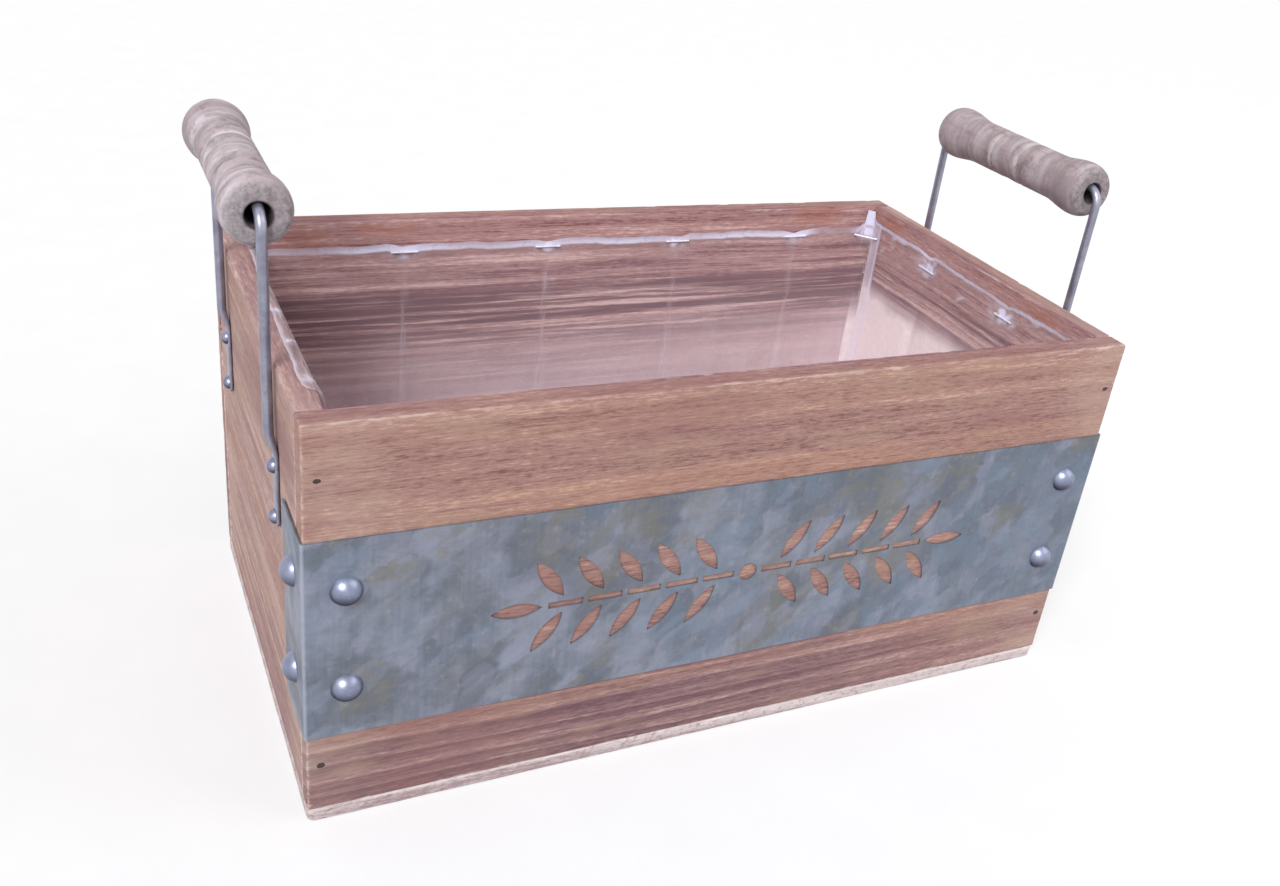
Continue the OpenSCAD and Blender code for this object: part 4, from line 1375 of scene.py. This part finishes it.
def film_haze_and_glare(fold, z):
    """How milky the film is here: nearly clear above, thickening low down, partly the film's own milkiness
    and partly painted glare, which is strongest on the right wall.
    """
    spot = fold.foot
    lean = (spot.x / (INNER_X / MM)) * 7.0 if fold.wall in ("back", "front") else 0.0
    rise = 5.0 * waver(spot.x * 0.02, spot.y * 0.02, 7.0)
    share = 1 - ease(z, HAZE_FULL[fold.wall] + lean + rise, HAZE_TOP[fold.wall] + lean + rise)
    upper = 1 - ease(z, HAZE_TOP[fold.wall], STAPLE_HEIGHT)
    return FAINT_HAZE + 0.06 * upper + (HAZE_MOST[fold.wall] - FAINT_HAZE) * share


def film_crease_and_glint(fold, drop, height, marks):
    """How white the film is here: its edge, the crumples at the staples, creases and pleats, partly the
    film's own whitening and partly painted glints.
    """
    near = staple_gap(fold, marks)
    line = hump(near, CREASE_WIDE)
    line *= 0.1 + 0.24 * waver(fold.along, height * 0.09, 3.0)
    line *= ease(height, FILM_FOOT + 20, FILM_FOOT + 75) * (1.0 if fold.wall == "back" else 0.4)
    strength = 0.85 + 0.5 * waver(fold.foot.x * 0.03, fold.foot.y * 0.03, 12.0)
    if fold.wall == "back":
        strength *= 1 - 0.6 * ease(fold.foot.x, 104, 114) * ease(fold.corner_gap, 6, 12)
    width = EDGE_WIDTH[fold.wall]
    edge = strength * ease(drop, width + 0.8, width - 0.4) * (0.6 if fold.wall == "left" else 1.05)
    crumple = 0.8 + 1.2 * waver(fold.along * 0.33, height * 0.4, 8.0)
    spread = LOOSE_KNOT_WIDE if fold.wall == "right" else KNOT_WIDE
    # Painted glints on the crumpled film at each staple, and scattered ones on the right wall.
    crumple_glint = 1.2 * crumple * hump(near, spread) * hump(height - STAPLE_HEIGHT - KNOT_ABOVE, KNOT_TALL)
    if fold.wall == "right":
        scattered = waver(fold.along * 0.16, height * 0.22, 21.0)
        crumple_glint = max(crumple_glint, ease(scattered, 0.12, 0.5) * ease(height, 124, 131) * 0.7)
    # Painted glint on the film pinned by the back right corner staple, and on the pleat's tip.
    bright_corner = fold.foot.x > 0 and fold.foot.y > 0
    pinned = hump(fold.corner_gap, PINNED_WIDE)
    pinned *= hump(height - STAPLE_HEIGHT - PINNED_ABOVE, PINNED_TALL)
    pinned *= 1.3 if bright_corner else 0.6
    tip = ease(height, 134, 137) * ease(fold.corner_gap, 5.0, 3.0) * (1.0 if bright_corner else 0.0)
    pleat = 0.0
    if fold.corner_gap < PLEAT + 0.5 and fold.wall in ("left", "right"):
        full = 0.5 if bright_corner else 0.2
        rim = min(abs(fold.corner_gap - PLEAT_IN), abs(fold.corner_gap - PLEAT))
        streaky = 0.85 + 0.5 * waver(fold.corner_gap * 0.9, height * 0.03, 14.0)
        pleat = full * streaky * (0.7 + 0.7 * hump(rim, 0.8)) * ease(height, 12, 60)
    lap = lapped(fold)
    if lap:
        bend = 0.45 * hump(height - LAP_START - 0.9, 0.6)
        # The lines across the lap are painted glints on crumples.
        across = max(hump(fold.along - place, LAP_CREASE_WIDE) for place in LAP_CREASES)
        drawn = 0.06 + 0.45 * waver(fold.along * 0.04, height * 1.1, 5.0)
        lap *= max(bend * strength, (0.6 * across + drawn) * ease(height, LAP_START - 2, LAP_START))
    return min(1.0, max(line, edge, crumple_glint, pinned, tip, pleat, lap, 0.0))


def ring_faces(start, rows, count):
    """Faces between rings of that many points, the first ring beginning at start."""
    faces = []
    for row in range(rows):
        for i in range(count):
            a = start + row * count + i
            b = start + row * count + (i + 1) % count
            faces.append((a, a + count, b + count, b))
    return faces


def add_liner():
    """Film bag pushed into the box: wavy stapled edge, pleats by the corners and a wrinkled floor."""
    marks = wall_marks()
    loop = film_loop(marks)
    full = EDGE_HEIGHT["back"] - FILM_FOOT
    drops = EDGE_DROPS + [EDGE_DROPS[-1] + DROP_STEP * i for i in range(1, 29)]
    drops = [drop for drop in drops if drop < full - 4]
    drops += [full - rise for rise in FOOT_RISES]
    points, haze_and_glare, crease_and_glint = [], [], []
    count = len(loop)
    for drop in drops:
        for fold in loop:
            top = edge_height(fold, marks)
            height = top - drop * (top - FILM_FOOT) / full
            points.append(film_point(fold, drop, height, marks))
            haze_and_glare.append(film_haze_and_glare(fold, height))
            crease_and_glint.append(film_crease_and_glint(fold, drop, height, marks))
    faces = ring_faces(0, len(drops) - 1, count)
    add_liner_floor(points, faces, haze_and_glare, crease_and_glint, (len(drops) - 1) * count, count)
    points = [Vector(point) * MM for point in points]
    piece = add_piece("pleated_film_liner", points, faces, liner_film(), "film_liner")
    set_values(piece, "haze_and_glare", haze_and_glare)
    set_values(piece, "crease_and_glint", crease_and_glint)
    weld(piece)


def add_liner_floor(points, faces, haze_and_glare, crease_and_glint, last, count):
    """The bag's floor, drawn in ring by ring to a line along the middle of the box."""
    spine = (INNER_X - INNER_Y) / MM
    rim = [Vector(points[last + i]) for i in range(count)]
    for ring in range(1, FLOOR_RINGS + 1):
        share = ring / FLOOR_RINGS
        for start in rim:
            end = Vector((min(max(start.x, -spine), spine), 0, FILM_FOOT))
            spot = start.lerp(end, share)
            swell = 0.5 + 0.5 * waver(spot.x * 0.05, spot.y * 0.05, 3.0)
            spot.z += 1.4 * swell * ease(share, 0.0, 0.25)
            points.append(spot)
            haze_and_glare.append(BAG_FLOOR_HAZE)
            crease_and_glint.append(0.25 * ease(waver(spot.x * 0.2, spot.y * 0.2, 9.0), 0.3, 0.6))
    faces.extend(ring_faces(last, FLOOR_RINGS, count))


WELD_GAP = 0.004 * MM
THINNEST = 0.005 * MM


def weld(piece):
    """Joins points that lie on each other, so that no face is left without area."""
    shape = bmesh.new()
    shape.from_mesh(piece.data)
    bmesh.ops.remove_doubles(shape, verts=shape.verts, dist=WELD_GAP)
    bmesh.ops.dissolve_degenerate(shape, edges=shape.edges, dist=THINNEST)
    shape.to_mesh(piece.data)
    shape.free()
    smooth(piece, 70)


# CAD nodes that keep their shape
def finish_metalware():
    # Domes and pins get the full painted shade on their undersides.
    dome = zinc_finish("satin_zinc_dome", (0.5, 0.5, 0.5), paint(154, 160, 184), paint(128, 134, 158),
                       paint(52, 54, 74), 0.12, 0.9, 0.03, darkening=1.0)
    pin = zinc_finish("bright_pin_zinc", (0.9, 0.9, 0.9), paint(158, 160, 186), paint(108, 108, 134),
                      paint(48, 42, 58), 0.5, 0.95, 0.06, darkening=1.0)
    brad = zinc_finish("dulled_brad_steel", (1.2, 1.2, 1.2), paint(72, 56, 52), paint(46, 34, 32),
                       paint(30, 22, 22), 0.6, 0.2, 0.08)
    staple = zinc_finish("bright_staple_zinc", (1.5, 1.5, 1.5), paint(250, 250, 255), paint(222, 224, 240),
                         paint(160, 156, 170), 0.2, 0.5, 0.03)
    dressed = {
        dome: ("front_left_domes", "front_right_domes", "left_side_domes", "right_side_domes"),
        pin: ("left_handle_nails", "right_handle_nails"),
        brad: ("front_left_brads", "front_right_brads", "back_left_brads", "back_right_brads",
               "bottom_brads"),
        staple: ("front_staples", "back_staples", "left_staples", "right_staples"),
    }
    for finish, names in dressed.items():
        for name in names:
            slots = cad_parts[name].data.materials
            slots.clear()
            slots.append(finish)


# Room
FLOOR_REACH = 4.0


def add_floor():
    mesh = bpy.data.meshes.new("floor")
    corners = [(x * FLOOR_REACH, y * FLOOR_REACH, 0) for x, y in ((-1, -1), (1, -1), (1, 1), (-1, 1))]
    mesh.from_pydata(corners, [], [(0, 1, 2, 3)])
    floor = put("floor", mesh)
    material, w, shader, place = start_material("pale_floor")
    grit = w.clouds(place, 3.0, 0.6, size=30.0)
    w.join(w.blend(grit, paint(196, 196, 198), paint(204, 204, 206)), shader["Base Color"])
    shader["Roughness"].default_value = 0.9
    shader["Emission Color"].default_value = (1, 1, 1, 1)
    w.join(w.times(seen_ray(w), FLOOR_GLOW), shader["Emission Strength"])
    mesh.materials.append(material)


def seen_ray(w):
    """1 for rays from the camera and those that metal or glass turns, and 0 for light on the object."""
    light = w.node("LightPath").outputs
    seen = w.math("MAXIMUM", light["Is Camera Ray"], light["Is Glossy Ray"])
    return w.math("MAXIMUM", seen, light["Is Transmission Ray"])


SKY_LEVEL = 0.5
FLOOR_GLOW = 0.36
KEY_FROM = (-0.75, -0.85, 1.05)
KEY_STRENGTH = 2.5
KEY_SPREAD = 28
FILL_PLACE = (0.9, -0.6, 0.9)
FILL_POWER = 3.0
FILL_SIZE = 0.9
LIT_SPOT = (0, 0, 0.08)


def add_lamp(name, kind, place, energy):
    """A lamp at a place, aimed at the middle of the box."""
    lamp = bpy.data.lights.new(name, kind)
    lamp.energy = energy
    stand = put(name, lamp)
    stand.location = place
    aim = Vector(LIT_SPOT) - Vector(place)
    stand.rotation_euler = aim.to_track_quat("-Z", "Y").to_euler()
    return lamp


def light_room():
    world = bpy.data.worlds.new("plain_sky")
    bpy.context.scene.world = world
    world.use_nodes = True
    w = Wiring(world.node_tree)
    sky = world.node_tree.nodes["Background"].inputs
    sky["Color"].default_value = (1, 1, 1, 1)
    w.join(w.between(seen_ray(w), SKY_LEVEL, 1.0), sky["Strength"])
    key = add_lamp("window_light", "SUN", KEY_FROM, KEY_STRENGTH)
    key.angle = math.radians(KEY_SPREAD)
    fill = add_lamp("fill_lamp", "AREA", FILL_PLACE, FILL_POWER)
    fill.size = FILL_SIZE


set_camera()
add_boards()
add_band()
add_handles()
add_grip("left_turned_grip", "left_grip", 2.0, 0.06)
add_grip("right_turned_grip", "right_grip", 6.0, 0.42)
add_liner()
finish_metalware()
add_floor()
light_room()
bpy.context.scene.view_settings.view_transform = "Standard"
